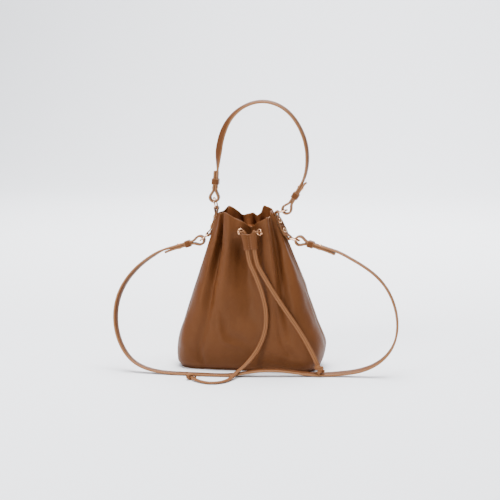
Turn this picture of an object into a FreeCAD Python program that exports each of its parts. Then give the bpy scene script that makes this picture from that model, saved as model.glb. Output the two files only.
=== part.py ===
"""Drawstring bucket bag: body with a drawn neck, top handle, long strap and drawstring.

Frame: +X to the viewer's right, -Y to the front, +Z up. The origin is the centre of the base, on the
surface that the bag stands on. Millimetres and degrees.
"""
import FreeCAD, Part
import math
import os

import Sketcher
from FreeCAD import Placement, Rotation, Vector

doc = FreeCAD.newDocument("bucket_bag")

# ---------------------------------------------------------------- driving dimensions
DIMENSIONS = {
    # leather
    "panel_thickness": 1.6,
    "strap_width": 12.0,
    "strap_thickness": 3.5,
    "board_thickness": 2.0,
    "board_inset": 3.1,
    # base
    "base_thickness": 2.0,
    "base_half_width": 104.0,
    "base_half_depth": 40.0,
    "base_corner": 32.0,
    # mouth
    "rim_level": 247.0,
    "rim_slope": 8.0,
    # drawstring channel
    "casing_bottom": 209.0,
    "casing_top": 229.5,
    "channel_bottom": 211.0,
    "channel_top": 228.0,
    "casing_wall": 1.0,
    "channel_depth": 4.0,
    "lace_width": 7.5,
    "lace_thickness": 2.4,
    "lace_inset": 1.2,
    "lace_diameter": 4.4,
    # eyelets
    "eyelet_level": 220.5,
    "eyelet_middle": 2.5,
    "eyelet_spread": 14.3,
    "eyelet_flange_radius": 5.5,
    "eyelet_barrel_radius": 4.1,
    "eyelet_hole_radius": 3.2,
    "flange_thickness": 1.2,
    "washer_thickness": 0.8,
    # slider
    "slider_width": 25.0,
    "slider_height": 22.0,
    "slider_thickness": 8.2,
    "slider_channel_radius": 2.8,
    # side tabs and their rivets
    "tab_level_left": 231.5,
    "tab_level_right": 226.5,
    "tab_width": 12.5,
    "tab_thickness": 4.0,
    "tab_reach": 22.2,
    "fold_radius": 4.2,
    "rivet_head_radius": 4.5,
    "rivet_head_rise": 1.4,
    "rivet_shank_radius": 1.5,
    "rivet_washer_radius": 3.7,
    "rivet_reach": 9.0,
    # rings
    "ring_radius": 9.3,
    "ring_wire_radius": 1.2,
    # keepers and studs
    "keeper_length": 9.5,
    "keeper_wall": 1.5,
    "keeper_gap": 0.4,
    "stud_head_radius": 3.2,
    "stud_head_rise": 1.4,
    "stud_shank_radius": 1.2,
}

# the body's outline at each height: half width, half depth, corner radius and sideways shift
STATIONS = {
    "hem": (2.0, 104.0, 40.0, 32.0, -1.0),
    "heel": (14.0, 113.5, 48.5, 36.0, -1.0),
    "belly": (36.0, 115.5, 50.0, 36.0, -0.5),
    "hip": (78.0, 106.0, 46.5, 34.0, -2.0),
    "waist": (134.0, 87.5, 41.0, 31.0, -3.0),
    "throat": (205.0, 62.4, 34.0, 26.0, -5.6),
    "peak": (262.0, 38.9, 27.0, 19.0, -11.1),
}
MEASURES = ("level", "half_width", "half_depth", "corner", "shift")

sizes = doc.addObject("Spreadsheet::Sheet", "Sizes")
for station, values in STATIONS.items():
    for measure, value in zip(MEASURES, values):
        DIMENSIONS[f"{station}_{measure}"] = value
for row, (alias, value) in enumerate(DIMENSIONS.items(), start=1):
    sizes.set(f"A{row}", alias)
    sizes.set(f"B{row}", str(value))
    sizes.setAlias(f"B{row}", alias)
doc.recompute()


def size(alias):
    return float(sizes.get(alias))


SUB_PARTS = []


def sub_part(obj, label):
    """Names a finished piece, which is then checked and written under that name."""
    obj.Label = label
    SUB_PARTS.append(obj)
    return obj


def bind(obj, **expressions):
    for prop, expression in expressions.items():
        obj.setExpression(prop, expression)


# ---------------------------------------------------------------- small helpers
WHOLE = 400  # longer than the bag, for a tool that cuts right across it
THROUGH = 30  # longer than any hole is deep


def frame_placement(origin, along_z, along_x):
    """A placement whose local Z and X point the given ways."""
    z = Vector(along_z).normalize()
    x = Vector(along_x) - z * z.dot(Vector(along_x))
    x.normalize()
    y = z.cross(x)
    matrix = FreeCAD.Matrix(
        x.x, y.x, z.x, origin.x,
        x.y, y.y, z.y, origin.y,
        x.z, y.z, z.z, origin.z,
        0, 0, 0, 1,
    )
    return Placement(matrix)


def cylinder(name, radius, height, placement):
    """A cylinder whose radius and height are expressions, along its placement's Z."""
    obj = doc.addObject("Part::Cylinder", name)
    bind(obj, Radius=radius, Height=height)
    obj.Placement = placement
    return obj


def block(name, length, width, height, placement):
    """A box whose sides are expressions, centred on its placement."""
    obj = doc.addObject("Part::Box", name)
    bind(obj, Length=length, Width=width, Height=height)
    doc.recompute()
    half = Vector(obj.Length.Value, obj.Width.Value, obj.Height.Value) / 2
    obj.Placement = placement.multiply(Placement(half * -1, Rotation()))
    return obj


def dome(name, radius, rise, placement):
    """Half an ellipsoid standing on its placement's XY plane."""
    obj = doc.addObject("Part::Ellipsoid", name)
    bind(obj, Radius1=rise, Radius2=radius, Radius3=radius)
    obj.Angle1 = 0
    obj.Placement = placement
    return obj


def fuse(name, shapes):
    obj = doc.addObject("Part::MultiFuse", name)
    obj.Shapes = shapes
    return obj


def cut(name, base, tool):
    obj = doc.addObject("Part::Cut", name)
    obj.Base = base
    obj.Tool = tool
    return obj


def common(name, base, tool):
    obj = doc.addObject("Part::Common", name)
    obj.Base = base
    obj.Tool = tool
    return obj


def origin_plane(body, role):
    return next(f for f in body.Origin.OriginFeatures if f.Role == role)


# ---------------------------------------------------------------- body outlines
def outline_sketch(body, name, level, half_width, half_depth, corner, shift):
    """A rounded rectangle on the level plane. Its five sizes are expressions."""
    sketch = body.newObject("Sketcher::SketchObject", name)
    sketch.AttachmentSupport = [(origin_plane(body, "XY_Plane"), "")]
    sketch.MapMode = "FlatFace"
    sketch.setExpression("AttachmentOffset.Base.z", level)
    a, b, r, x0 = (sizes.evalExpression(text) for text in (half_width, half_depth, corner, shift))
    left, right, low, high = x0 - a, x0 + a, -b, b
    up = Vector(0, 0, 1)
    ends = [
        (Vector(left + r, low, 0), Vector(right - r, low, 0)),
        (Vector(right, low + r, 0), Vector(right, high - r, 0)),
        (Vector(right - r, high, 0), Vector(left + r, high, 0)),
        (Vector(left, high - r, 0), Vector(left, low + r, 0)),
    ]
    centres = [
        (Vector(right - r, low + r, 0), -90),
        (Vector(right - r, high - r, 0), 0),
        (Vector(left + r, high - r, 0), 90),
        (Vector(left + r, low + r, 0), 180),
    ]
    lines, arcs = [], []
    for (start, end), (centre, angle) in zip(ends, centres):
        lines.append(sketch.addGeometry(Part.LineSegment(start, end)))
        first, last = math.radians(angle), math.radians(angle + 90)
        arcs.append(sketch.addGeometry(Part.ArcOfCircle(Part.Circle(centre, up, r), first, last)))
    add = sketch.addConstraint
    for side in range(4):
        add(Sketcher.Constraint("Tangent", lines[side], 2, arcs[side], 1))
        add(Sketcher.Constraint("Tangent", arcs[side], 2, lines[(side + 1) % 4], 1))
        add(Sketcher.Constraint("Horizontal" if side % 2 == 0 else "Vertical", lines[side]))
    for arc in arcs[1:]:
        add(Sketcher.Constraint("Equal", arcs[0], arc))
    driven = {
        "right": (("DistanceX", -1, 1, lines[1], 1, right), f"{shift} + {half_width}"),
        "left": (("DistanceX", lines[3], 1, -1, 1, -left), f"{half_width} - ({shift})"),
        "back": (("DistanceY", -1, 1, lines[2], 1, high), half_depth),
        "front": (("DistanceY", lines[0], 1, -1, 1, -low), half_depth),
        "corner": (("Radius", arcs[0], r), corner),
    }
    for label, (constraint, text) in driven.items():
        sketch.renameConstraint(add(Sketcher.Constraint(*constraint)), label)
        sketch.setExpression(f"Constraints.{label}", text)
    return sketch


def station_sketch(body, station, inset, tag):
    """The body's outline at a station, drawn in by an inset."""
    cell = f"Sizes.{station}_"
    return outline_sketch(
        body,
        f"{tag}_{station}",
        f"{cell}level",
        f"{cell}half_width - {inset}",
        f"{cell}half_depth - {inset}",
        f"{cell}corner - {inset}",
        f"{cell}shift",
    )


def between_sketch(body, level, inset, tag):
    """The outline at a level between the throat and the peak, drawn in by an inset."""
    share = f"(({level} - Sizes.throat_level) / (Sizes.peak_level - Sizes.throat_level))"

    def mixed(measure):
        return f"Sizes.throat_{measure} + ({share}) * (Sizes.peak_{measure} - Sizes.throat_{measure})"

    return outline_sketch(
        body,
        tag,
        level,
        f"{mixed('half_width')} - ({inset})",
        f"{mixed('half_depth')} - ({inset})",
        f"{mixed('corner')} - ({inset})",
        mixed("shift"),
    )


def loft(body, name, kind, sketches):
    feature = body.newObject(kind, name)
    feature.Profile = sketches[0]
    feature.Sections = sketches[1:]
    feature.Ruled = True
    body.Tip = feature
    return feature


def hollow_band(name, bottom, top, outer_inset, inner_inset):
    """A band of the neck between two levels, hollow from its inner inset inwards."""
    body = doc.addObject("PartDesign::Body", name)
    for tag, kind, inset in (("outside", "Additive", outer_inset), ("inside", "Subtractive", inner_inset)):
        ends = [between_sketch(body, bottom, inset, f"{name}_{tag}_low")]
        ends.append(between_sketch(body, top, inset, f"{name}_{tag}_high"))
        loft(body, f"{name}_{tag}", f"PartDesign::{kind}Loft", ends)
        doc.recompute()
    return body


def neck_at(level):
    """Half width, half depth and sideways shift of the neck's outside at a level."""
    share = (level - size("throat_level")) / (size("peak_level") - size("throat_level"))

    def mixed(measure):
        low, high = size(f"throat_{measure}"), size(f"peak_{measure}")
        return low + share * (high - low)

    return mixed("half_width"), mixed("half_depth"), mixed("shift")


# ---------------------------------------------------------------- bag body
def make_shell():
    """The hollow body, open at its slanted rim, before it is parted at the side seams."""
    body = doc.addObject("PartDesign::Body", "Shell")
    outer = [station_sketch(body, s, "0", "outer") for s in STATIONS]
    loft(body, "shell_outside", "PartDesign::AdditiveLoft", outer)
    doc.recompute()
    inner = [station_sketch(body, s, "Sizes.panel_thickness", "inner") for s in STATIONS]
    loft(body, "shell_inside", "PartDesign::SubtractiveLoft", inner)
    doc.recompute()
    slope = Rotation(Vector(1, 0, 0), size("rim_slope"))
    rim = Placement(Vector(0, 0, size("rim_level")), slope)
    lid = block("rim_cutter", f"{WHOLE}", f"{WHOLE}", f"{WHOLE}", local(rim, z=WHOLE / 2))
    return cut("shell_cut", body, lid)


def eyelet_places():
    """Where each eyelet sits on the front of the neck, its Z pointing out of the bag."""
    level = size("eyelet_level")
    _, depth, _ = neck_at(level)
    lean = math.atan2(
        size("throat_half_depth") - size("peak_half_depth"), size("peak_level") - size("throat_level")
    )
    out = Vector(0, -math.cos(lean), math.sin(lean))
    for side, sign in (("left", -1), ("right", 1)):
        x = size("eyelet_middle") + sign * size("eyelet_spread")
        yield side, frame_placement(Vector(x, -depth, level), out, Vector(1, 0, 0))


def tab_place(side):
    """The middle of a side tab on the neck: X across the tab, Y up the slope, Z out of the bag."""
    sign, level = (-1 if side == "left" else 1), size(f"tab_level_{side}")
    half_width, _, shift = neck_at(level)
    narrowing = size("throat_half_width") - size("peak_half_width")
    run = size("peak_shift") - size("throat_shift") - sign * narrowing
    slope = Vector(run, 0, size("peak_level") - size("throat_level")).normalize()
    out = Vector(slope.z, 0, -slope.x) * sign
    out = out if out.x * sign > 0 else out * -1
    across = slope.cross(out)
    return frame_placement(Vector(shift + sign * half_width, 0, level), out, across)


def local(placement, x=0.0, y=0.0, z=0.0):
    return placement.multiply(Placement(Vector(x, y, z), Rotation()))


def holes_through(name, places, radius):
    tools = []
    for index, place in enumerate(places):
        tools.append(cylinder(f"{name}{index}", radius, f"{THROUGH}", local(place, z=-THROUGH / 2)))
    return fuse(f"{name}s", tools) if len(tools) > 1 else tools[0]


def rivet_places(side):
    place = tab_place(side)
    return [local(place, y=sign * size("rivet_reach")) for sign in (-1, 1)]


def make_panels():
    shell = make_shell()
    eyelets = [place for _, place in eyelet_places()]
    eyelet_holes = holes_through("eyelet_hole", eyelets, "Sizes.eyelet_barrel_radius")
    rivets = rivet_places("left") + rivet_places("right")
    rivet_holes = holes_through("rivet_hole", rivets, "Sizes.rivet_shank_radius")
    pierced = cut("shell_pierced", shell, fuse("panel_holes", [eyelet_holes, rivet_holes]))
    middle = Placement(Vector(0, -WHOLE / 2, WHOLE / 2), Rotation())
    front_half = block("front_half", f"{WHOLE}", f"{WHOLE}", f"{WHOLE}", middle)
    sub_part(common("front_panel", pierced, front_half), "front_panel")
    sub_part(cut("back_panel", pierced, front_half), "back_panel")


def make_base():
    plate = doc.addObject("PartDesign::Body", "base_panel")
    outline = outline_sketch(
        plate,
        "base_outline",
        "0",
        "Sizes.base_half_width",
        "Sizes.base_half_depth",
        "Sizes.base_corner",
        "Sizes.hem_shift",
    )
    pad = plate.newObject("PartDesign::Pad", "base_pad")
    pad.Profile = outline
    pad.setExpression("Length", "Sizes.base_thickness")
    sub_part(plate, "base_panel")
    board = doc.addObject("PartDesign::Body", "base_board")
    outline = outline_sketch(
        board,
        "board_outline",
        "Sizes.base_thickness",
        "Sizes.base_half_width - Sizes.board_inset",
        "Sizes.base_half_depth - Sizes.board_inset",
        "Sizes.base_corner - Sizes.board_inset",
        "Sizes.hem_shift",
    )
    pad = board.newObject("PartDesign::Pad", "board_pad")
    pad.Profile = outline
    pad.setExpression("Length", "Sizes.board_thickness")
    sub_part(board, "base_board")


# ---------------------------------------------------------------- drawstring channel
def make_casing():
    """The facing inside the mouth: a band standing off the body, with the channel behind it."""
    wall = "Sizes.panel_thickness"
    depth = f"{wall} + Sizes.channel_depth"
    inner_face = f"{depth} + Sizes.casing_wall"
    band = hollow_band("casing_band", "Sizes.casing_bottom", "Sizes.casing_top", wall, inner_face)
    channel = hollow_band("channel_space", "Sizes.channel_bottom", "Sizes.channel_top", "0", depth)
    sub_part(cut("drawstring_casing", band, channel), "drawstring_casing")


def make_drawstring_loop():
    """The lace in the channel, open between the eyelets, with an end out through each eyelet."""
    near = "Sizes.panel_thickness + Sizes.lace_inset"
    level = "Sizes.eyelet_level"
    ring = hollow_band(
        "lace_ring",
        f"{level} - Sizes.lace_width / 2",
        f"{level} + Sizes.lace_width / 2",
        near,
        f"{near} + Sizes.lace_thickness",
    )
    gap_width = "2 * Sizes.eyelet_spread"
    gap_middle = Vector(size("eyelet_middle"), -size("throat_half_depth"), size("eyelet_level"))
    gap = block("lace_gap", gap_width, f"{THROUGH}", f"{THROUGH}", Placement(gap_middle, Rotation()))
    open_ring = cut("lace_open", ring, gap)
    deep = size("panel_thickness") + size("lace_inset") + size("lace_thickness") * 0.75
    ends = []
    for side, place in eyelet_places():
        length = f"{deep} + Sizes.flange_thickness"
        ends.append(cylinder(f"lace_end_{side}", "Sizes.lace_diameter / 2", length, local(place, z=-deep)))
    sub_part(fuse("drawstring_loop", [open_ring, *ends]), "drawstring_loop")


def make_eyelets():
    """Flange and barrel outside; washer inside, round the barrel's end."""
    wall = size("panel_thickness")
    for side, place in eyelet_places():
        barrel_length = "Sizes.panel_thickness + Sizes.washer_thickness + Sizes.flange_thickness"
        inner_end = local(place, z=-wall - size("washer_thickness"))
        flange = cylinder(
            f"flange_{side}", "Sizes.eyelet_flange_radius", "Sizes.flange_thickness", place
        )
        barrel = cylinder(f"barrel_{side}", "Sizes.eyelet_barrel_radius", barrel_length, inner_end)
        hole = holes_through(f"bore_{side}", [place], "Sizes.eyelet_hole_radius")
        solid = fuse(f"eyelet_solid_{side}", [flange, barrel])
        sub_part(cut(f"eyelet_{side}", solid, hole), f"eyelet_{side}")
        disc = cylinder(
            f"washer_disc_{side}", "Sizes.eyelet_flange_radius", "Sizes.washer_thickness", inner_end
        )
        bore = holes_through(f"washer_bore_{side}", [place], "Sizes.eyelet_barrel_radius")
        sub_part(cut(f"eyelet_washer_{side}", disc, bore), f"eyelet_washer_{side}")


# ---------------------------------------------------------------- rings and side tabs
TAB_GAP = 0.15  # between the neck and the tab
RING_ROOM = 0.35  # round the ring's wire inside a fold
GRIP = 8.1  # from a ring's centre to the middle of the leather that goes round its wire

RING_LEANS = {
    ("upper", "left"): Vector(-0.25, 0, 0.97),
    ("upper", "right"): Vector(0.96, 0, 0.28),
    ("lower", "left"): Vector(-0.80, 0, -0.60),
    ("lower", "right"): Vector(0.97, 0, -0.24),
}


def fold_centre(side, level):
    """The middle of the tab's fold at its upper or lower end."""
    sign = 1 if level == "upper" else -1
    return local(
        tab_place(side), y=sign * size("tab_reach"), z=size("fold_radius") + TAB_GAP
    ).Base


def ring_lean(level, side):
    return Vector(RING_LEANS[level, side]).normalize()


def ring_centre(level, side):
    return fold_centre(side, level) + ring_lean(level, side) * GRIP


def wrap_centre(level, side):
    """The middle of the strap's turn round a ring."""
    return ring_centre(level, side) + ring_lean(level, side) * GRIP


def torus(name, level, side, wire_radius):
    lean = ring_lean(level, side)
    obj = doc.addObject("Part::Torus", name)
    bind(obj, Radius1="Sizes.ring_radius", Radius2=wire_radius)
    obj.Placement = frame_placement(ring_centre(level, side), lean.cross(Vector(0, 1, 0)), lean)
    return obj


def make_rings():
    for level in ("upper", "lower"):
        for side in ("left", "right"):
            name = f"ring_{level}_{side}"
            sub_part(torus(name, level, side, "Sizes.ring_wire_radius"), name)


def make_tab(side):
    """A strip folded round a ring at each end, its two layers lying together on the neck."""
    place = tab_place(side)
    thickness, reach = size("tab_thickness"), size("tab_reach")
    strip = block(
        f"tab_strip_{side}",
        "Sizes.tab_width",
        "2 * Sizes.tab_reach",
        "Sizes.tab_thickness",
        local(place, z=TAB_GAP + thickness / 2),
    )
    folds = []
    for level, sign in (("upper", 1), ("lower", -1)):
        middle = local(place, x=-size("tab_width") / 2, y=sign * reach, z=size("fold_radius") + TAB_GAP)
        turned = middle.multiply(Placement(Vector(), Rotation(Vector(0, 1, 0), 90)))
        folds.append(cylinder(f"tab_fold_{level}_{side}", "Sizes.fold_radius", "Sizes.tab_width", turned))
    solid = fuse(f"tab_solid_{side}", [strip, *folds])
    room = f"Sizes.ring_wire_radius + {RING_ROOM}"
    eyes = [torus(f"tab_eye_{level}_{side}", level, side, room) for level in ("upper", "lower")]
    holes = holes_through(f"tab_hole_{side}", rivet_places(side), "Sizes.rivet_shank_radius")
    sub_part(cut(f"side_tab_{side}", solid, fuse(f"tab_tools_{side}", [*eyes, holes])), f"side_tab_{side}")


def make_rivets(side):
    """Two rivets, each a domed head on the tab and a shank through to its washer."""
    heads, washers = [], []
    top = TAB_GAP + size("tab_thickness")
    inner = size("panel_thickness") + size("washer_thickness")
    for index, place in enumerate(rivet_places(side)):
        tag = f"{side}{index}"
        outer_end, inner_end = local(place, z=top), local(place, z=-inner)
        head = dome(f"rivet_head_{tag}", "Sizes.rivet_head_radius", "Sizes.rivet_head_rise", outer_end)
        shank = cylinder(f"rivet_shank_{tag}", "Sizes.rivet_shank_radius", f"{top + inner}", inner_end)
        heads.append(fuse(f"rivet_{tag}", [head, shank]))
        disc = cylinder(f"rivet_disc_{tag}", "Sizes.rivet_washer_radius", "Sizes.washer_thickness", inner_end)
        bore = holes_through(f"rivet_bore_{tag}", [place], "Sizes.rivet_shank_radius")
        washers.append(cut(f"rivet_washer_{tag}", disc, bore))
    for name, pieces in ((f"tab_rivets_{side}", heads), (f"rivet_washers_{side}", washers)):
        group = doc.addObject("Part::Compound", name)
        group.Links = pieces
        sub_part(group, name)


# ---------------------------------------------------------------- straps
EYE_RADIUS = 5.3  # of the strap's centre line where it turns round a ring
EYE_LENGTH = 11.5  # from the turn to where the two strands lie together
STRAND_GAP = 0.25
STUD_SEAT = 0.06  # room under each head of a stud
FREE_FROM = 20.0  # from a keeper's middle to where the tip starts to stand off the strap
SAMPLE = 6.0  # spacing of a strap's cross-sections


class StrapEnd:
    """One end of a strap: its turn round a ring, the straight stretch through its keeper, and its tip."""

    def __init__(self, level, side, along, inward, keeper, stud, straight, tip, tip_spread):
        self.wrap = wrap_centre(level, side)
        self.along = Vector(along).normalize()
        across = self.along.cross(Vector(0, 1, 0)).normalize()
        self.across = across if across.dot(Vector(inward)) > 0 else across * -1
        self.keeper, self.stud, self.straight, self.tip = keeper, stud, straight, tip
        self.tip_spread = tip_spread
        self.near = (size("strap_thickness") + STRAND_GAP) / 2

    def at(self, distance, offset=0.0):
        return self.wrap + self.along * distance + self.across * offset

    def main(self, distance):
        return self.at(distance, self.near)

    def placement(self, distance):
        """At a distance from the turn: Z along the strap, Y through its two layers."""
        return frame_placement(self.at(distance), self.along, self.across.cross(self.along))

    def eye(self):
        """The turn round the ring, from the main strand's side to the tip's side."""
        half = []
        for step in range(5):
            share = step / 4
            ease = share * share * (3 - 2 * share)
            half.append((EYE_LENGTH * (1 - share), self.near + (EYE_RADIUS - self.near) * ease))
        angles = [math.pi * step / 8 for step in range(1, 8)]
        turn = [(-EYE_RADIUS * math.sin(a), EYE_RADIUS * math.cos(a)) for a in angles]
        return [self.at(s, n) for s, n in half + turn + [(s, -n) for s, n in half[::-1]]]

    def run(self):
        """Centre line from just short of the main strand's curve, round the ring, to the tip."""
        stretch = self.straight - EYE_LENGTH
        count = round(stretch / SAMPLE)
        straight = [self.main(self.straight - stretch * i / count) for i in range(1, count)]
        count = round((self.tip - EYE_LENGTH) / SAMPLE)
        free = self.keeper + FREE_FROM
        tip = []
        for i in range(1, count + 1):
            distance = EYE_LENGTH + (self.tip - EYE_LENGTH) * i / count
            share = max(0.0, distance - free) / max(self.tip - free, SAMPLE)
            tip.append(self.at(distance, -self.near - self.tip_spread * share**2))
        return straight + self.eye() + tip


def section(point, tangent, side):
    """The strap's rectangular cross-section at a point of its centre line."""
    side = (side - tangent * tangent.dot(side)).normalize()
    normal = tangent.cross(side)
    w, t = side * (size("strap_width") / 2), normal * (size("strap_thickness") / 2)
    corners = [point + w + t, point - w + t, point - w - t, point + w - t]
    return Part.makePolygon(corners + corners[:1])


def strap_shape(first, last, route):
    """A strap from tip to tip, and its length. The route between its ends is a list of x, y, z and roll."""
    knots = [first.main(first.straight)] + [Vector(*p[:3]) for p in route] + [last.main(last.straight)]
    rolls = [0.0] + [p[3] for p in route] + [0.0]
    marks = [0.0]
    for before, after in zip(knots, knots[1:]):
        marks.append(marks[-1] + (after - before).Length)
    spline = Part.BSplineCurve()
    spline.interpolate(
        Points=knots, Parameters=marks, InitialTangent=first.along, FinalTangent=last.along * -1, Scale=False
    )
    middle = spline.discretize(Number=round(spline.length() / SAMPLE) + 1)
    start, finish = first.run()[::-1], last.run()
    points = start + middle + finish
    wires, length = [], 0.0
    for index, point in enumerate(points):
        before, after = points[max(index - 1, 0)], points[min(index + 1, len(points) - 1)]
        tangent = (after - before).normalize()
        side = Vector(0, 1, 0)
        if len(start) < index < len(start) + len(middle) - 1:
            u = spline.parameter(point)
            k = max(i for i in range(len(marks) - 1) if marks[i] <= u + 1e-9)
            share = (u - marks[k]) / (marks[k + 1] - marks[k])
            side = Rotation(tangent, rolls[k] + share * (rolls[k + 1] - rolls[k])).multVec(side)
        wires.append(section(point, tangent, side))
        length += (point - before).Length
    return Part.makeLoft(wires, True, True), length


def make_keeper(name, end):
    """A leather loop round both layers of the strap, free to slide."""
    place = end.placement(end.keeper)
    layers = f"2 * Sizes.strap_thickness + {STRAND_GAP} + 2 * Sizes.keeper_gap"
    across = "Sizes.strap_width + 2 * Sizes.keeper_gap"
    wall = "2 * Sizes.keeper_wall"
    outer_width, outer_depth = f"{across} + {wall}", f"{layers} + {wall}"
    outside = block(f"{name}_outside", outer_width, outer_depth, "Sizes.keeper_length", place)
    inside = block(f"{name}_inside", across, layers, f"{THROUGH}", place)
    sub_part(cut(name, outside, inside), name)


def make_stud(name, end):
    """A domed stud through both layers, and the tool that cuts its hole."""
    layers = 2 * (size("strap_thickness") + STUD_SEAT) + STRAND_GAP
    out = frame_placement(end.at(end.stud), end.across, end.along)
    back = out.multiply(Placement(Vector(), Rotation(Vector(1, 0, 0), 180)))
    head = dome(f"{name}_head", "Sizes.stud_head_radius", "Sizes.stud_head_rise", local(out, z=layers / 2))
    cap = dome(f"{name}_cap", "Sizes.stud_head_radius", "Sizes.stud_head_rise", local(back, z=layers / 2))
    shank = cylinder(f"{name}_shank", "Sizes.stud_shank_radius", f"{layers}", local(out, z=-layers / 2))
    sub_part(fuse(name, [head, cap, shank]), name)
    return holes_through(f"{name}_hole", [out], "Sizes.stud_shank_radius")


def make_strap(name, prefix, left, right, route):
    shape, length = strap_shape(left, right, route)
    strip = doc.addObject("Part::Feature", f"{name}_strip")
    strip.Shape = shape
    strip.Placement = Placement()
    holes = []
    for side, end in (("left", left), ("right", right)):
        make_keeper(f"{prefix}_keeper_{side}", end)
        holes.append(make_stud(f"{prefix}_stud_{side}", end))
    sub_part(cut(name, strip, fuse(f"{name}_holes", holes)), name)
    print(f"{name}: {length:.0f} mm from tip to tip")
    for side, end in (("left", left), ("right", right)):
        fold = fold_centre(side, "upper" if prefix == "handle" else "lower")
        print(f"{prefix} {side}: fold {fold}, turn {end.wrap}, along {end.along}")


def handle_ends():
    inward = {"left": (1, 0, 0), "right": (-1, 0, 0)}
    left = StrapEnd("upper", "left", (0.08, 0, 0.997), inward["left"], 27, 16.5, 40, 46, 0.5)
    right = StrapEnd("upper", "right", (0.53, 0, 0.85), inward["right"], 27, 42, 47, 56, 3.0)
    return left, right


HANDLE_ROUTE = [
    (-53.6, 0, 345, 40),
    (-46.2, 0, 376, 50),
    (-35, 0, 396.5, 32),
    (-13.7, 0, 415, 10),
    (18.2, 0, 423.3, 0),
    (50.7, 0, 412.5, 0),
    (73.5, 0, 387, 0),
    (86, 0, 355, 0),
    (88, 0, 332, 0),
    (85.5, 0, 311, 0),
]


def strap_ends():
    up = (0, 0, 1)
    left = StrapEnd("lower", "left", (-0.949, -0.137, -0.283), up, 22, 37, 58, 63, 1.5)
    right = StrapEnd("lower", "right", (0.958, -0.067, -0.277), up, 20, 35, 58, 62, 1.5)
    return left, right


STRAP_ROUTE = [
    (-157, -11.5, 178.5, 0),
    (-190, -23, 151, 0),
    (-209.5, -38, 116, 0),
    (-212.5, -52, 81, 0),
    (-202, -66, 46.5, 0),
    (-176, -78, 16.5, 0),
    (-140, -84.5, 4.6, 0),
    (-105, -86.5, 2.5, 0),
    (-60, -86.5, 2.3, 0),
    (-15, -83, 3.2, 0),
    (20, -77, 8.5, 0),
    (62, -69, 8.5, 0),
    (105, -61, 3.5, 6),
    (150, -54, 5.0, 16),
    (181, -50.5, 10.5, 16),
    (210, -46.5, 25, 8),
    (229.5, -40, 50, 0),
    (234.5, -31.5, 82, 0),
    (227.5, -23.5, 113.5, 0),
    (210.5, -16.5, 142, 0),
    (179, -10, 167.5, 0),
    (159, -7, 178.5, 0),
]


# ---------------------------------------------------------------- drawstring ends and slider
SLIDE_WAY = Vector(0.13, -0.06, -0.99).normalize()
SLIDER_TOP = Vector(2.7, -43.2, 217.3)
CHANNEL_SPREAD = 5.7
CORD_ROUTES = {
    "left": [
        (12.5, -45.8, 156),
        (24.3, -48, 127),
        (31.6, -51, 98),
        (31.4, -54, 70.5),
        (23.2, -57, 45.5),
        (12.6, -63, 28),
        (0.6, -74, 14.5),
        (-9.5, -89.5, 8.2),
        (-14.5, -110, 3.0),
        (-23.5, -130, 2.5),
        (-41, -138.5, 2.4),
        (-60, -129.5, 2.4),
        (-71, -118.5, 3.4),
    ],
    "right": [
        (23.2, -45.8, 158),
        (42.6, -48.5, 127.5),
        (62.8, -51, 99),
        (82.6, -53.5, 72.5),
        (98.6, -56, 47),
        (109, -58.5, 28),
        (115, -60.5, 16),
    ],
}
# each knot's centre and its half sizes along X, Y and Z
KNOTS = {
    "left": (Vector(-76.5, -113, 5.3), (8.5, 9.0, 5.1)),
    "right": (Vector(117, -61.5, 11.8), (8.0, 7.5, 5.8)),
}


def cord_route(side):
    """From the eyelet, over the slider's top edge, down its channel and on to the knot."""
    sign = -1 if side == "left" else 1
    place = dict(eyelet_places())[side]
    mouth = local(place, z=size("flange_thickness")).Base
    channel = SLIDER_TOP + Vector(sign * CHANNEL_SPREAD, 0, 0)
    over = channel - SLIDE_WAY * 4.4
    front = local(place, z=size("flange_thickness") + 9.6).Base
    below = channel + SLIDE_WAY * 42
    return [mouth, front, over, below] + [Vector(*p) for p in CORD_ROUTES[side]]


def tube_path(points):
    """Straight runs joined by tangent arcs, and each arc's radius."""
    edges, radii, start = [], [], points[0]
    for before, corner, after in zip(points, points[1:], points[2:]):
        back, ahead = before - corner, after - corner
        reach = 0.45 * min(back.Length, ahead.Length)
        half_turn = (math.pi - back.getAngle(ahead)) / 2
        radii.append(reach / math.tan(half_turn))
        first = corner + Vector(back).normalize() * reach
        last = corner + Vector(ahead).normalize() * reach
        bisector = (Vector(back).normalize() + Vector(ahead).normalize()).normalize()
        sagitta = radii[-1] / math.cos(half_turn) - radii[-1]
        edges.append(Part.LineSegment(start, first).toShape())
        edges.append(Part.Arc(first, corner + bisector * sagitta, last).toShape())
        start = last
    edges.append(Part.LineSegment(start, points[-1]).toShape())
    return Part.Wire(edges), radii


def make_cord(side):
    points = cord_route(side)
    path, radii = tube_path(points)
    radius = size("lace_diameter") / 2
    circle = Part.Circle(points[0], points[1] - points[0], radius)
    shape = path.makePipeShell([Part.Wire(circle.toShape())], True, False)
    cord = doc.addObject("Part::Feature", f"cord_{side}")
    cord.Shape = shape
    cord.Placement = Placement()
    sub_part(cord, f"cord_{side}")
    expected = math.pi * radius**2 * path.Length
    print(f"cord_{side}: {path.Length:.1f} mm, volume {shape.Volume / expected:.4f} of section x length")
    print(f"  radii {[round(r, 1) for r in radii]}")


def make_knot(side):
    centre, radii = KNOTS[side]
    knot = doc.addObject("Part::Ellipsoid", f"knot_{side}")
    knot.Radius2, knot.Radius3, knot.Radius1 = radii
    knot.Angle1 = -90
    knot.Placement = Placement(centre, Rotation())
    sub_part(knot, f"knot_{side}")


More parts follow.
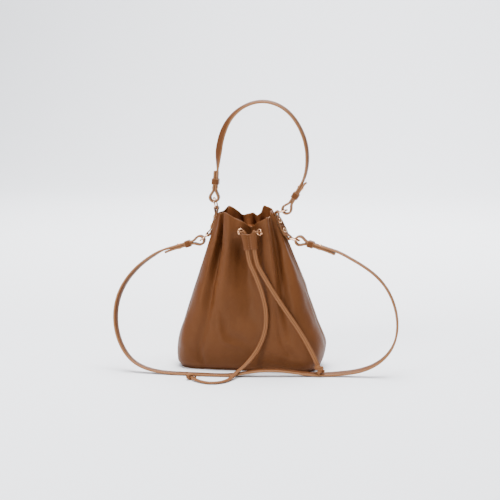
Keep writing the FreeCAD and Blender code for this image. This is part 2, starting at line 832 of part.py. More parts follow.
def make_slider():
    middle = SLIDER_TOP + SLIDE_WAY * (size("slider_height") / 2)
    place = frame_placement(middle, SLIDE_WAY * -1, Vector(1, 0, 0))
    outside = block(
        "slider_outside", "Sizes.slider_width", "Sizes.slider_thickness", "Sizes.slider_height", place
    )
    lines = [local(place, x=offset) for offset in (-CHANNEL_SPREAD, CHANNEL_SPREAD)]
    channels = holes_through("slider_channel", lines, "Sizes.slider_channel_radius")
    sub_part(cut("cord_slider", outside, channels), "cord_slider")


# ---------------------------------------------------------------- build, check and write
def main():
    make_panels()
    make_base()
    make_casing()
    make_drawstring_loop()
    make_eyelets()
    make_rings()
    for side in ("left", "right"):
        make_tab(side)
        make_rivets(side)
        make_cord(side)
        make_knot(side)
    make_slider()
    make_strap("handle_strap", "handle", *handle_ends(), HANDLE_ROUTE)
    make_strap("long_strap", "strap", *strap_ends(), STRAP_ROUTE)
    doc.recompute()
    for obj in doc.Objects:
        if "Invalid" in obj.State or "Error" in obj.State:
            raise RuntimeError(f"{obj.Name} failed: {obj.State}")
    for obj in SUB_PARTS:
        if obj.Shape.isNull() or not obj.Shape.isValid() or not obj.Shape.Solids:
            raise RuntimeError(f"{obj.Label} has no valid solid")
    os.makedirs("parts", exist_ok=True)
    for obj in SUB_PARTS:
        obj.Shape.exportStep(f"parts/{obj.Label}.step")
        box = obj.Shape.BoundBox
        count, volume = len(obj.Shape.Solids), obj.Shape.Volume
        print(f"{obj.Label}: {count} solid(s), {volume:.0f} mm3, z {box.ZMin:.2f} to {box.ZMax:.2f}")


main()
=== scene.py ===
"""Looks of the drawstring bucket bag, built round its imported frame.

Frame: metres, +X to the viewer's right, -Y to the front, +Z up, the bag standing at z = 0.
Outlines and folds are written in millimetres and turned into metres where a mesh is made.
"""

import math

import bmesh
import bpy
import numpy as np
from mathutils import Matrix, Vector, noise


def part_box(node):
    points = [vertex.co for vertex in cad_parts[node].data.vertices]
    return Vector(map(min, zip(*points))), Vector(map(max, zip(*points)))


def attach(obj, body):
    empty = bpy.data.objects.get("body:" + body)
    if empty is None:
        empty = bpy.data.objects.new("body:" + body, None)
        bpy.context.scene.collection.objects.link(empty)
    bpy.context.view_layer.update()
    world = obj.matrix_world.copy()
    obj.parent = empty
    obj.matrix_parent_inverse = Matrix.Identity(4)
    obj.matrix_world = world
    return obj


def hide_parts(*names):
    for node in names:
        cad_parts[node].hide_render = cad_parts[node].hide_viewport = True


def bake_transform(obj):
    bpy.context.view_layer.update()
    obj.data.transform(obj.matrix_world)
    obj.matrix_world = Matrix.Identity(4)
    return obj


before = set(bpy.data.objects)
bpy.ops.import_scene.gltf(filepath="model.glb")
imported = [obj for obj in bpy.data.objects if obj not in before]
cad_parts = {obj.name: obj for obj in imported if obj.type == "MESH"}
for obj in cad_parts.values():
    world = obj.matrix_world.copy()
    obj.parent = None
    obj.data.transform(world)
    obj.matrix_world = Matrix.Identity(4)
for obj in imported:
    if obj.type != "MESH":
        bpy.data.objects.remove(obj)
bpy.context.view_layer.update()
MM = 0.001
SIDES = ("left", "right")


# ---------------------------------------------------------------- camera, light and floor
CAMERA_AIM = Vector((-0.0033, 0, 0.1875))
CAMERA_AZIMUTH = math.radians(10)
CAMERA_ELEVATION = math.radians(8)
CAMERA_DISTANCE = 1.889


def aim(obj, target):
    obj.rotation_euler = (Vector(target) - obj.location).to_track_quat("-Z", "Y").to_euler()


def make_camera():
    data = bpy.data.cameras.new("camera")
    data.lens, data.sensor_width = 85, 36
    camera = bpy.data.objects.new("camera", data)
    bpy.context.scene.collection.objects.link(camera)
    flat = math.cos(CAMERA_ELEVATION)
    way = Vector((math.sin(CAMERA_AZIMUTH) * flat, -math.cos(CAMERA_AZIMUTH) * flat,
                  math.sin(CAMERA_ELEVATION)))
    camera.location = CAMERA_AIM + way * CAMERA_DISTANCE
    aim(camera, CAMERA_AIM)
    bpy.context.scene.camera = camera


def area_light(name, place, target, size, power):
    data = bpy.data.lights.new(name, "AREA")
    data.shape, data.size, data.energy = "DISK", size, power
    light = bpy.data.objects.new(name, data)
    bpy.context.scene.collection.objects.link(light)
    light.location = place
    aim(light, target)


def make_lights():
    area_light("overhead", (0, 0.4, 2.7), (0, 0.12, 0), 2.6, 280)
    area_light("key", (-1.5, -2.3, 1.6), (0, 0, 0.12), 0.8, 58)
    area_light("wall", (0, 1.6, 3.2), (0, 5.4, 1.6), 2.5, 400)
    world = bpy.data.worlds.new("studio")
    bpy.context.scene.world = world
    world.use_nodes = True
    background = world.node_tree.nodes["Background"]
    background.inputs["Color"].default_value = (0.93, 0.95, 1.0, 1)
    background.inputs["Strength"].default_value = 0.4


def make_backdrop():
    """A floor that curves up into a wall far behind the bag."""
    half_width, front, back, radius, height = 12.0, -14.0, 3.0, 2.5, 6.0
    profile = [(front, 0.0), (back, 0.0)]
    for step in range(1, 13):
        angle = math.pi / 2 * step / 12
        profile.append((back + radius * math.sin(angle), radius * (1 - math.cos(angle))))
    profile.append((back + radius, height))
    grid = np.array([[(x, y, z) for x in (-half_width, half_width)] for y, z in profile])
    floor = surface("backdrop", grid)
    paint(floor, pale_floor())


# ---------------------------------------------------------------- materials
class Nodes:
    """A material's node tree, with short calls to add nodes and link them."""

    def __init__(self, name):
        self.material = bpy.data.materials.new(name)
        self.material.use_nodes = True
        self.tree = self.material.node_tree
        self.shader = self.tree.nodes["Principled BSDF"]
        self.place = self.add("ShaderNodeTexCoord").outputs["Object"]

    def add(self, kind, **settings):
        node = self.tree.nodes.new(kind)
        for key, value in settings.items():
            setattr(node, key, value)
        return node

    def link(self, source, target):
        self.tree.links.new(source, target)

    def noise(self, scale, detail=3.0, rough=0.55):
        node = self.add("ShaderNodeTexNoise")
        node.inputs["Scale"].default_value = scale
        node.inputs["Detail"].default_value = detail
        node.inputs["Roughness"].default_value = rough
        self.link(self.place, node.inputs["Vector"])
        return node.outputs["Fac"]

    def cells(self, scale):
        node = self.add("ShaderNodeTexVoronoi", feature="DISTANCE_TO_EDGE")
        node.inputs["Scale"].default_value = scale
        self.link(self.place, node.inputs["Vector"])
        return node.outputs["Distance"]

    def ramp(self, source, stops):
        node = self.add("ShaderNodeValToRGB")
        node.color_ramp.elements[0].position, node.color_ramp.elements[1].position = stops[0][0], stops[-1][0]
        for element, (_, colour) in zip(node.color_ramp.elements, (stops[0], stops[-1])):
            element.color = (*colour, 1)
        for position, colour in stops[1:-1]:
            node.color_ramp.elements.new(position).color = (*colour, 1)
        self.link(source, node.inputs["Fac"])
        return node.outputs["Color"]

    def mottle(self, source, colour, low, high, start=0.3, end=0.7):
        """A colour that varies with the source between two strengths."""
        return self.ramp(source, [(start, scaled(colour, low)), (end, scaled(colour, high))])

    def span(self, source, low, high, start=0.0, end=1.0):
        node = self.add("ShaderNodeMapRange")
        for key, value in (("From Min", start), ("From Max", end), ("To Min", low), ("To Max", high)):
            node.inputs[key].default_value = value
        self.link(source, node.inputs["Value"])
        return node.outputs["Result"]

    def mix(self, share, a, b):
        node = self.add("ShaderNodeMix", data_type="RGBA")
        for value, key in ((share, 0), (a, 6), (b, 7)):
            if isinstance(value, tuple):
                node.inputs[key].default_value = (*value, 1)
            else:
                self.link(value, node.inputs[key])
        return node.outputs[2]

    def bump(self, height, strength, distance, before=None):
        node = self.add("ShaderNodeBump")
        node.inputs["Strength"].default_value = strength
        node.inputs["Distance"].default_value = distance
        self.link(height, node.inputs["Height"])
        if before is not None:
            self.link(before, node.inputs["Normal"])
        return node.outputs["Normal"]

    def tone(self):
        return self.add("ShaderNodeAttribute", attribute_name="tone").outputs["Fac"]

    def into(self, key, source):
        self.link(source, self.shader.inputs[key])

    def constant(self, key, value):
        self.shader.inputs[key].default_value = value


def scaled(colour, factor):
    return tuple(channel * factor for channel in colour)


TAN = (0.098, 0.032, 0.0088)
EDGE = (0.27, 0.125, 0.056)


def leather(name, colour=TAN, rough=0.44, grain=0.5):
    """Smooth dyed leather: cloudy colour, fine pores and soft creases. Its tone shows the cut edge, and on the lace's
    raised fold line a painted highlight.
    """
    nodes = Nodes(name)
    cloud = nodes.ramp(nodes.noise(14, 4),
                       [(0.3, scaled(colour, 0.88)), (0.5, colour), (0.72, scaled(colour, 1.12))])
    fleck = nodes.mix(nodes.span(nodes.noise(420, 2), 0.0, 0.22, 0.35, 0.75), cloud, scaled(colour, 0.72))
    nodes.into("Base Color", nodes.mix(nodes.tone(), fleck, EDGE))
    nodes.into("Roughness", nodes.span(nodes.noise(60, 3), rough, rough + 0.14))
    pores = nodes.bump(nodes.cells(1100), 0.9 * grain, 0.0003)
    soft = nodes.bump(nodes.noise(240, 5, 0.65), 0.65 * grain, 0.0007, pores)
    nodes.into("Normal", nodes.bump(nodes.noise(38, 3), 0.3 * grain, 0.002, soft))
    nodes.constant("Specular IOR Level", 0.27)
    nodes.constant("Specular Tint", (1.0, 0.72, 0.52, 1))
    return nodes.material


def suede(name):
    """The leather's rough inner face."""
    nodes = Nodes(name)
    base = scaled(TAN, 1.8)
    nodes.into("Base Color", nodes.mottle(nodes.noise(180, 5, 0.7), base, 0.8, 1.2))
    nodes.into("Roughness", nodes.span(nodes.noise(500, 3), 0.75, 0.92))
    nodes.into("Normal", nodes.bump(nodes.noise(900, 4, 0.7), 0.6, 0.0004))
    nodes.constant("Specular IOR Level", 0.15)
    return nodes.material


def raw_edge(name):
    """A cut or painted edge, lighter than the face."""
    nodes = Nodes(name)
    nodes.into("Base Color", nodes.mottle(nodes.noise(300, 3), EDGE, 0.85, 1.1))
    nodes.into("Roughness", nodes.span(nodes.noise(200, 2), 0.42, 0.6))
    nodes.into("Normal", nodes.bump(nodes.noise(800, 3), 0.3, 0.0002))
    return nodes.material


def thread(name):
    nodes = Nodes(name)
    tan = (0.24, 0.10, 0.04)
    nodes.into("Base Color", nodes.mottle(nodes.noise(700, 2), tan, 0.8, 1.15, 0.35, 0.65))
    nodes.into("Roughness", nodes.span(nodes.noise(900, 2), 0.5, 0.7))
    nodes.into("Normal", nodes.bump(nodes.noise(2600, 2), 0.5, 0.0001))
    return nodes.material


def pale_gold(name):
    """Polished plating with faint handling marks."""
    nodes = Nodes(name)
    gold = (0.78, 0.46, 0.27)
    nodes.into("Base Color", nodes.mottle(nodes.noise(120, 3), gold, 0.93, 1.05))
    nodes.constant("Metallic", 1.0)
    nodes.into("Roughness", nodes.span(nodes.noise(600, 4, 0.7), 0.14, 0.3))
    nodes.into("Normal", nodes.bump(nodes.noise(1100, 3), 0.06, 0.0001))
    return nodes.material


def board(name):
    nodes = Nodes(name)
    grey = (0.10, 0.065, 0.04)
    nodes.into("Base Color", nodes.mottle(nodes.noise(400, 5, 0.7), grey, 0.8, 1.2))
    nodes.into("Roughness", nodes.span(nodes.noise(300, 2), 0.8, 0.95))
    nodes.into("Normal", nodes.bump(nodes.noise(1200, 3), 0.4, 0.0003))
    return nodes.material


def pale_floor():
    nodes = Nodes("studio_floor")
    pale = (0.885, 0.90, 0.94)
    nodes.into("Base Color", nodes.mottle(nodes.noise(0.8, 2), pale, 0.99, 1.0))
    nodes.constant("Roughness", 0.7)
    nodes.constant("Specular IOR Level", 0.2)
    return nodes.material


BODY_LEATHER = leather("body_leather")
STRAP_LEATHER = leather("strap_leather", scaled(TAN, 1.1), 0.42, 0.4)
LACE_LEATHER = leather("lace_leather", scaled(TAN, 1.25), 0.46, 0.4)
INNER_LEATHER = suede("inner_leather")
EDGE_PAINT = raw_edge("edge_paint")
THREAD = thread("thread")
GOLD = pale_gold("pale_gold")


# ---------------------------------------------------------------- mesh helpers
def new_object(name, vertices, faces, tone=None):
    mesh = bpy.data.meshes.new(name)
    mesh.from_pydata([tuple(v) for v in vertices], [], faces)
    mesh.update()
    mesh.polygons.foreach_set("use_smooth", [True] * len(mesh.polygons))
    attribute = mesh.attributes.new("tone", "FLOAT", "POINT")
    attribute.data.foreach_set("value", list(tone) if tone is not None else [0.0] * len(mesh.vertices))
    obj = bpy.data.objects.new(name, mesh)
    bpy.context.scene.collection.objects.link(obj)
    return obj


def paint(obj, *materials):
    obj.data.materials.clear()
    for material in materials:
        obj.data.materials.append(material)
    return obj


def surface(name, grid, round_u=False, keep=None, tone=None):
    """A sheet of quads through a grid of points, rows upwards and columns along."""
    rows, columns = grid.shape[:2]
    faces = []
    for r in range(rows - 1):
        for c in range(columns if round_u else columns - 1):
            n = (c + 1) % columns
            if keep is None or keep[r, c]:
                faces.append((r * columns + c, r * columns + n, (r + 1) * columns + n, (r + 1) * columns + c))
    return new_object(name, grid.reshape(-1, 3), faces, tone)


def apply_modifiers(obj):
    bpy.context.view_layer.update()
    evaluated = obj.evaluated_get(bpy.context.evaluated_depsgraph_get())
    mesh = bpy.data.meshes.new_from_object(evaluated)
    obj.modifiers.clear()
    obj.data = mesh
    mesh.polygons.foreach_set("use_smooth", [True] * len(mesh.polygons))
    return obj


def thicken(obj, thickness, rim_material=1, inner_material=0):
    """Gives a sheet its thickness, away from its face, with its own material on the rim."""
    solid = obj.modifiers.new("thickness", "SOLIDIFY")
    solid.thickness, solid.offset, solid.use_rim = thickness, -1, True
    solid.material_offset_rim, solid.material_offset = rim_material, inner_material
    solid.thickness_clamp = 1.2
    return apply_modifiers(obj)


def unit(vectors):
    return vectors / np.maximum(np.linalg.norm(vectors, axis=-1, keepdims=True), 1e-12)


def flat_section(width, thickness, corner=0.42, crease=0.0, inset=1.4):
    """A strap's outline: rows of across, through and tone. Its rounded corners carry the cut edge's tone."""
    w, t = width / 2, thickness / 2
    r = min(corner * thickness, t * 0.98)
    rows = []
    for sx, sy, start in ((1, 1, 0), (-1, 1, 90), (-1, -1, 180), (1, -1, 270)):
        arc = []
        for step in range(4):
            angle = math.radians(start + 30 * step)
            on_edge = step in (0, 3) and (step == 0) == (start % 180 == 0)
            arc.append((sx * (w - r) + r * math.cos(angle), sy * (t - r) + r * math.sin(angle),
                        1.0 if on_edge else 0.6))
        face = [(sx * (w - inset), sy * t, 0.0), (sx * (w - inset - 0.35), sy * (t - crease), 0.0),
                (sx * (w - inset - 0.7), sy * t, 0.0)]
        rows += arc + face if start % 180 == 0 else face[::-1] + arc
    return np.array(rows)


def sweep(name, centres, across, section, closed=False, cut_ends=True):
    """A section swept along centres, its width along the across vectors. All in millimetres."""
    centres, across = np.array(centres, float), np.array(across, float)
    if closed:
        tangents = unit(np.roll(centres, -1, 0) - np.roll(centres, 1, 0))
    else:
        tangents = unit(np.gradient(centres, axis=0))
    across = unit(across - tangents * np.sum(across * tangents, axis=1, keepdims=True))
    through = np.cross(tangents, across)
    rings = (centres[:, None] + across[:, None] * section[None, :, 0:1]
             + through[:, None] * section[None, :, 1:2])
    count, size = len(centres), len(section)
    faces = []
    for i in range(count if closed else count - 1):
        j = (i + 1) % count
        for k in range(size):
            m = (k + 1) % size
            faces.append((i * size + k, i * size + m, j * size + m, j * size + k))
    if not closed:
        faces += [tuple(range(size))[::-1], tuple((count - 1) * size + k for k in range(size))]
    tone = np.tile(section[:, 2], count)
    if cut_ends and not closed:
        tone[:size] = tone[-size:] = 1.0
    obj = new_object(name, rings.reshape(-1, 3) * MM, faces, tone)
    fix_normals(obj)
    return obj


def fix_normals(obj):
    """Faces point outwards."""
    work = bmesh.new()
    work.from_mesh(obj.data)
    bmesh.ops.recalc_face_normals(work, faces=work.faces)
    work.to_mesh(obj.data)
    work.free()
    obj.data.polygons.foreach_set("use_smooth", [True] * len(obj.data.polygons))
    return obj


def join(name, pieces):
    """Several meshes as one piece, keeping their materials."""
    materials, vertices, faces, tones, slots = [], [], [], [], []
    for piece in pieces:
        mesh, base = piece.data, len(vertices)
        vertices += [piece.matrix_world @ v.co for v in mesh.vertices]
        tones += [item.value for item in mesh.attributes["tone"].data]
        for material in mesh.materials:
            if material not in materials:
                materials.append(material)
        for polygon in mesh.polygons:
            faces.append(tuple(base + v for v in polygon.vertices))
            slots.append(materials.index(mesh.materials[polygon.material_index]))
        bpy.data.objects.remove(piece)
    whole = new_object(name, vertices, faces, tones)
    paint(whole, *materials)
    whole.data.polygons.foreach_set("material_index", slots)
    return whole


def lathe(name, profile, place, steps=40):
    """A profile of radius and height, in millimetres, turned about the Z of a placement in metres."""
    angles = np.linspace(0, 2 * math.pi, steps, endpoint=False)
    grid = np.array([[(r * math.cos(a), r * math.sin(a), z) for a in angles] for r, z in profile]) * MM
    obj = surface(name, grid, round_u=True)
    obj.data.transform(place)
    return fix_normals(obj)


def placement(origin, along_z, along_x):
    z = Vector(along_z).normalized()
    x = (Vector(along_x) - z * z.dot(Vector(along_x))).normalized()
    y = z.cross(x)
    return Matrix(((x.x, y.x, z.x, origin[0]), (x.y, y.y, z.y, origin[1]),
                   (x.z, y.z, z.z, origin[2]), (0, 0, 0, 1)))


def smooth_track(rows, at):
    """Smooth values, at the given positions, of rows that each hold a position and its values."""
    table, at = np.array(rows, float), np.asarray(at, float)
    t, values = table[:, 0], table[:, 1:]
    slopes = np.gradient(values, t, axis=0)
    k = np.clip(np.searchsorted(t, at, side="right") - 1, 0, len(t) - 2)
    h = (t[k + 1] - t[k])[:, None]
    s = np.clip((at - t[k])[:, None] / h, 0, 1)
    low = (1 + 2 * s) * (1 - s) ** 2 * values[k] + s * (1 - s) ** 2 * h * slopes[k]
    high = s * s * (3 - 2 * s) * values[k + 1] + s * s * (s - 1) * h * slopes[k + 1]
    return low + high


def cubic_curve(points, start, end, spacing):
    """A smooth curve through points, leaving and arriving along the given ways.

    Also gives each sample's place among them.
    """
    points = np.array(points, float)
    gaps = np.linalg.norm(np.diff(points, axis=0), axis=1)
    marks = np.concatenate([[0], np.cumsum(gaps)])
    count = len(points)
    system, right = np.zeros((count, count)), np.zeros((count, 3))
    system[0, 0] = system[-1, -1] = 1
    right[0], right[-1] = start, end
    for i in range(1, count - 1):
        a, b = gaps[i - 1], gaps[i]
        system[i, i - 1], system[i, i], system[i, i + 1] = b, 2 * (a + b), a
        right[i] = 3 * (b * (points[i] - points[i - 1]) / a + a * (points[i + 1] - points[i]) / b)
    slopes = np.linalg.solve(system, right)
    at = np.linspace(0, marks[-1], int(marks[-1] / spacing) + 1)
    k = np.clip(np.searchsorted(marks, at, side="right") - 1, 0, count - 2)
    h = gaps[k][:, None]
    s = ((at - marks[k]) / gaps[k])[:, None]
    low = (1 + 2 * s) * (1 - s) ** 2 * points[k] + s * (1 - s) ** 2 * h * slopes[k]
    high = s * s * (3 - 2 * s) * points[k + 1] + s * s * (s - 1) * h * slopes[k + 1]
    return low + high, k + s[:, 0]


def stitches(name, starts, ways, normals, length=2.6, radius=0.42):
    """A row of short threads lying on a surface, in millimetres."""
    vertices, faces = [], []
    rings = ((-0.5, 0.35), (-0.3, 0.9), (0, 1.0), (0.3, 0.9), (0.5, 0.35))
    for start, way, normal in zip(starts, ways, normals):
        way, normal = unit(np.array(way, float)), unit(np.array(normal, float))
        side, base = np.cross(way, normal), len(vertices)
        for along, width in rings:
            for step in range(6):
                angle = math.pi * 2 * step / 6
                offset = (side * math.cos(angle) * radius * width
                          + normal * math.sin(angle) * radius * width * 0.8)
                vertices.append((np.array(start) + way * along * length + offset) * MM)
        for r in range(len(rings) - 1):
            for k in range(6):
                m = (k + 1) % 6
                faces.append((base + r * 6 + k, base + r * 6 + m,
                              base + (r + 1) * 6 + m, base + (r + 1) * 6 + k))
        last = base + (len(rings) - 1) * 6
        faces += [tuple(base + k for k in range(6))[::-1], tuple(last + k for k in range(6))]
    return fix_normals(paint(new_object(name, vertices, faces), THREAD))


def place_piece(obj, body, slot, *replaced):
    """A finished piece rides on its body and stands for its frame nodes. Its slot is not used."""
    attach(obj, body)
    if replaced:
        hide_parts(*replaced)
    return obj


# ---------------------------------------------------------------- drawstring ends
CORD_ROUTES = {
    "left": [
        (-0.0118, -0.0333, 0.2206), (-0.0118, -0.0428, 0.2218), (-0.0036, -0.0429, 0.2217),
        (0.0025, -0.0457, 0.1757), (0.0125, -0.0458, 0.156), (0.0243, -0.048, 0.127), (0.0316, -0.051, 0.098),
        (0.0314, -0.054, 0.0705), (0.0232, -0.057, 0.0455), (0.0126, -0.063, 0.028), (0.0006, -0.074, 0.0145),
        (-0.0095, -0.0895, 0.0082), (-0.0145, -0.11, 0.003), (-0.0235, -0.13, 0.0025),
        (-0.041, -0.1385, 0.0024), (-0.06, -0.1295, 0.0024), (-0.071, -0.1185, 0.0034),
    ],
    "right": [
        (0.0168, -0.0333, 0.2206), (0.0168, -0.0428, 0.2218), (0.0078, -0.0429, 0.2217),
        (0.0139, -0.0457, 0.1757), (0.0232, -0.0458, 0.158), (0.0426, -0.0485, 0.1275), (0.0628, -0.051, 0.099),
        (0.0826, -0.0535, 0.0725), (0.0986, -0.056, 0.047), (0.109, -0.0585, 0.028), (0.115, -0.0605, 0.016),
    ],
}
LACE_WIDTH = 7.0
LACE_THICKNESS = 2.6


def route_points(name, route):
    """Points read from a smooth spline with the route as its control points, in metres."""
    data = bpy.data.curves.new(name, "CURVE")
    data.dimensions, data.resolution_u = "3D", 16
    spline = data.splines.new("NURBS")
    spline.points.add(len(route) - 1)
    for point, place in zip(spline.points, route):
        point.co = (*place, 1)
    spline.order_u = 3
    spline.use_endpoint_u = True
    holder = bpy.data.objects.new(name, data)
    bpy.context.scene.collection.objects.link(holder)
    bpy.context.view_layer.update()
    mesh = bpy.data.meshes.new_from_object(holder.evaluated_get(bpy.context.evaluated_depsgraph_get()))
    points = np.array([v.co for v in mesh.vertices])
    bpy.data.objects.remove(holder)
    return points


def lace_section():
    """A flat leather lace folded along its length, with the fold's edge as a raised line. The raised line is painted
    lighter as a highlight.
    """
    w, t = LACE_WIDTH / 2, LACE_THICKNESS / 2
    rows = []
    for step in range(20):
        angle = 2 * math.pi * step / 20
        c, s = math.cos(angle), math.sin(angle)
        rows.append((w * math.copysign(abs(c) ** 0.65, c), t * math.copysign(abs(s) ** 0.6, s),
                     abs(c) ** 8 * 0.8))
    # the fold's raised lips take the lighter edge tone as a painted highlight; the groove between them keeps the face
    # colour
    fold_ridge_with_painted_highlight = {4: 0.25, 5: -0.45, 6: 0.3}
    for index, rise in fold_ridge_with_painted_highlight.items():
        across, through, _ = rows[index]
        rows[index] = (across, through + rise, 0.75 if rise > 0 else 0.0)
    return np.array(rows)


def lace_across(points):
    """The lace faces forward where it hangs and upward where it lies."""
    tangents = unit(np.gradient(points, axis=0))
    lying = np.clip((0.030 - points[:, 2]) / 0.022, 0, 1)[:, None]
    lying = lying * lying * (3 - 2 * lying)
    hanging = np.tile([1.0, 0.0, 0.0], (len(points), 1))
    flat = np.cross(tangents, np.tile([0.0, 0.0, 1.0], (len(points), 1)))
    return unit(hanging * (1 - lying) - flat * lying)


def make_cords():
    for side in SIDES:
        route = CORD_ROUTES[side]
        points = route_points(f"cord_{side}_route", route)
        lace = sweep(f"lace_{side}", points / MM, lace_across(points), lace_section())
        paint(lace, LACE_LEATHER)
        keep_above(lace, 0.0002)
        place_piece(lace, "bag", "leather_lace", f"cord_{side}")
        knot = make_knot(side, points)


def make_knot(side, points):
    """An overhand knot: the lace turned twice round itself, with its end left out below."""
    low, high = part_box(f"knot_{side}")
    centre = np.array((low + high) / 2) / MM
    half = np.array((high - low) / 2) / MM
    way = unit(points[-1] - points[-6])
    up = np.array([0.0, 0.0, 1.0]) if side == "left" else np.array([0.0, -1.0, 0.0])
    side_way = unit(np.cross(way, up))
    up = np.cross(side_way, way)
    section = lace_section() * np.array([0.86, 0.9, 1.0])
    pieces = []
    for tilt, shift, size in ((0.5, -2.2, 0.98), (-0.55, 2.4, 0.94)):
        angles = np.linspace(0, 2 * math.pi, 40, endpoint=False)
        lean = way * math.cos(tilt) + side_way * math.sin(tilt)
        out = np.cross(up, lean)
        radius_a, radius_b = (min(half[:2]) - 1.6) * size, (half[2] - 1.4) * size
        ring = (centre + way * shift + out * (np.cos(angles) * radius_a)[:, None]
                + up * (np.sin(angles) * radius_b)[:, None])
        pieces.append(sweep("knot_turn", ring, np.tile(lean, (40, 1)), section, closed=True))
    end_way = unit(way * 0.75 + side_way * (0.6 if side == "left" else -0.5) - up * 0.15)
    reach = np.linspace(-4, min(half[:2]) + 1.2, 10)[:, None]
    tail = centre + end_way * reach + up * 0.4 * np.sin(np.linspace(0, 2, 10))[:, None]
    pieces.append(sweep("knot_end", tail, np.tile(np.cross(end_way, up), (10, 1)), section))
    core = centre + way * np.linspace(-half[0] * 0.8, half[0] * 0.5, 8)[:, None]
    pieces.append(sweep("knot_core", core, np.tile(side_way, (8, 1)), section))
    for piece in pieces:
        paint(piece, LACE_LEATHER)
    knot = join(f"lace_knot_{side}", pieces)
    keep_above(knot, 0.0002)
    return place_piece(knot, "bag", "leather_lace", f"knot_{side}")


def keep_above(obj, floor):
    """Nothing of a piece that lies down reaches below the floor."""
    for vertex in obj.data.vertices:
        if vertex.co.z < floor:
            vertex.co.z = floor


# ---------------------------------------------------------------- slider
SLIDE_WAY = np.array(unit(np.array([0.13, -0.06, -0.99])))
SLIDER_REACH = 12.2


def make_slider():
    """Two channels side by side with a stitched seam between. The top corners reach up to the eyelets."""
    low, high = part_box("cord_slider")
    centre = np.array((low + high) / 2) / MM
    across = unit(np.cross(SLIDE_WAY, [0, 1, 0]) * -1)
    across = across if across[0] > 0 else -across
    front = np.cross(across, SLIDE_WAY)
    front = front if front[1] < 0 else -front
    rows, steps = 15, 56
    grid = np.zeros((rows, steps, 3))
    for r in range(rows):
        share = r / (rows - 1)
        half_width = 11.6 - 0.6 * share + 2.0 * (1 - share) ** 3
        for k in range(steps):
            angle = 2 * math.pi * k / steps
            x = math.copysign(abs(math.cos(angle)) ** 0.8, math.cos(angle))
            swell = (0.34 + 0.66 * math.sin(math.pi * min(1.0, abs(x) * 1.02)) ** 0.7
                     if abs(x) < 0.98 else 0.34)
            depth = 3.7 * swell * (1 - 0.06 * share)
            y = math.copysign(depth * min(1.0, abs(math.sin(angle)) * 2.2) ** 0.6, math.sin(angle))
            wing = 3.2 * abs(x) ** 1.6 * (1 - share) ** 2
            z = -SLIDER_REACH + 2 * SLIDER_REACH * share - wing
            grid[r, k] = (centre + across * x * half_width
                          + front * (y + 1.2 * abs(x) ** 2 * (1 - share)) + SLIDE_WAY * z)
    shell = paint(surface("slider_shell", grid * MM, round_u=True), STRAP_LEATHER, EDGE_PAINT)
    fix_normals(shell)
    thicken(shell, 1.1 * MM)
    starts, ways, normals = [], [], []
    for offset in (-1.1, 1.1):
        for r in range(1, rows - 1, 2):
            near = grid[r, np.argmin(np.linalg.norm(grid[r] - (centre + across * offset + front * 3
                                                               + SLIDE_WAY * SLIDER_REACH * (2 * r / (rows - 1) - 1)), axis=1))]
            starts.append(near + front * 0.15)
            ways.append(SLIDE_WAY)
            normals.append(front)
    seam = stitches("slider_seam", starts, ways, normals, 1.9, 0.3)
    place_piece(join("lace_slider", [shell, seam]), "slider", "leather_trim", "cord_slider")


# ---------------------------------------------------------------- bag body
HEM, RIM = 2.0, 247.0
PANEL = 1.6
# the body's smooth outline: level, half width, half depth, corner radius and sideways shift
OUTLINE = [
    (2, 110.5, 44, 30, -3.5), (8, 115, 47.5, 31, -3), (16, 117.2, 49, 32, -2.2), (36, 119.2, 50, 34, -0.8),
    (78, 106.5, 46.5, 34, -2), (134, 87.5, 41, 31, -3), (205, 62.4, 34, 26, -5.6), (262, 38.9, 27, 19, -11.1),
]
CORNER = 1 - math.sqrt(0.5)

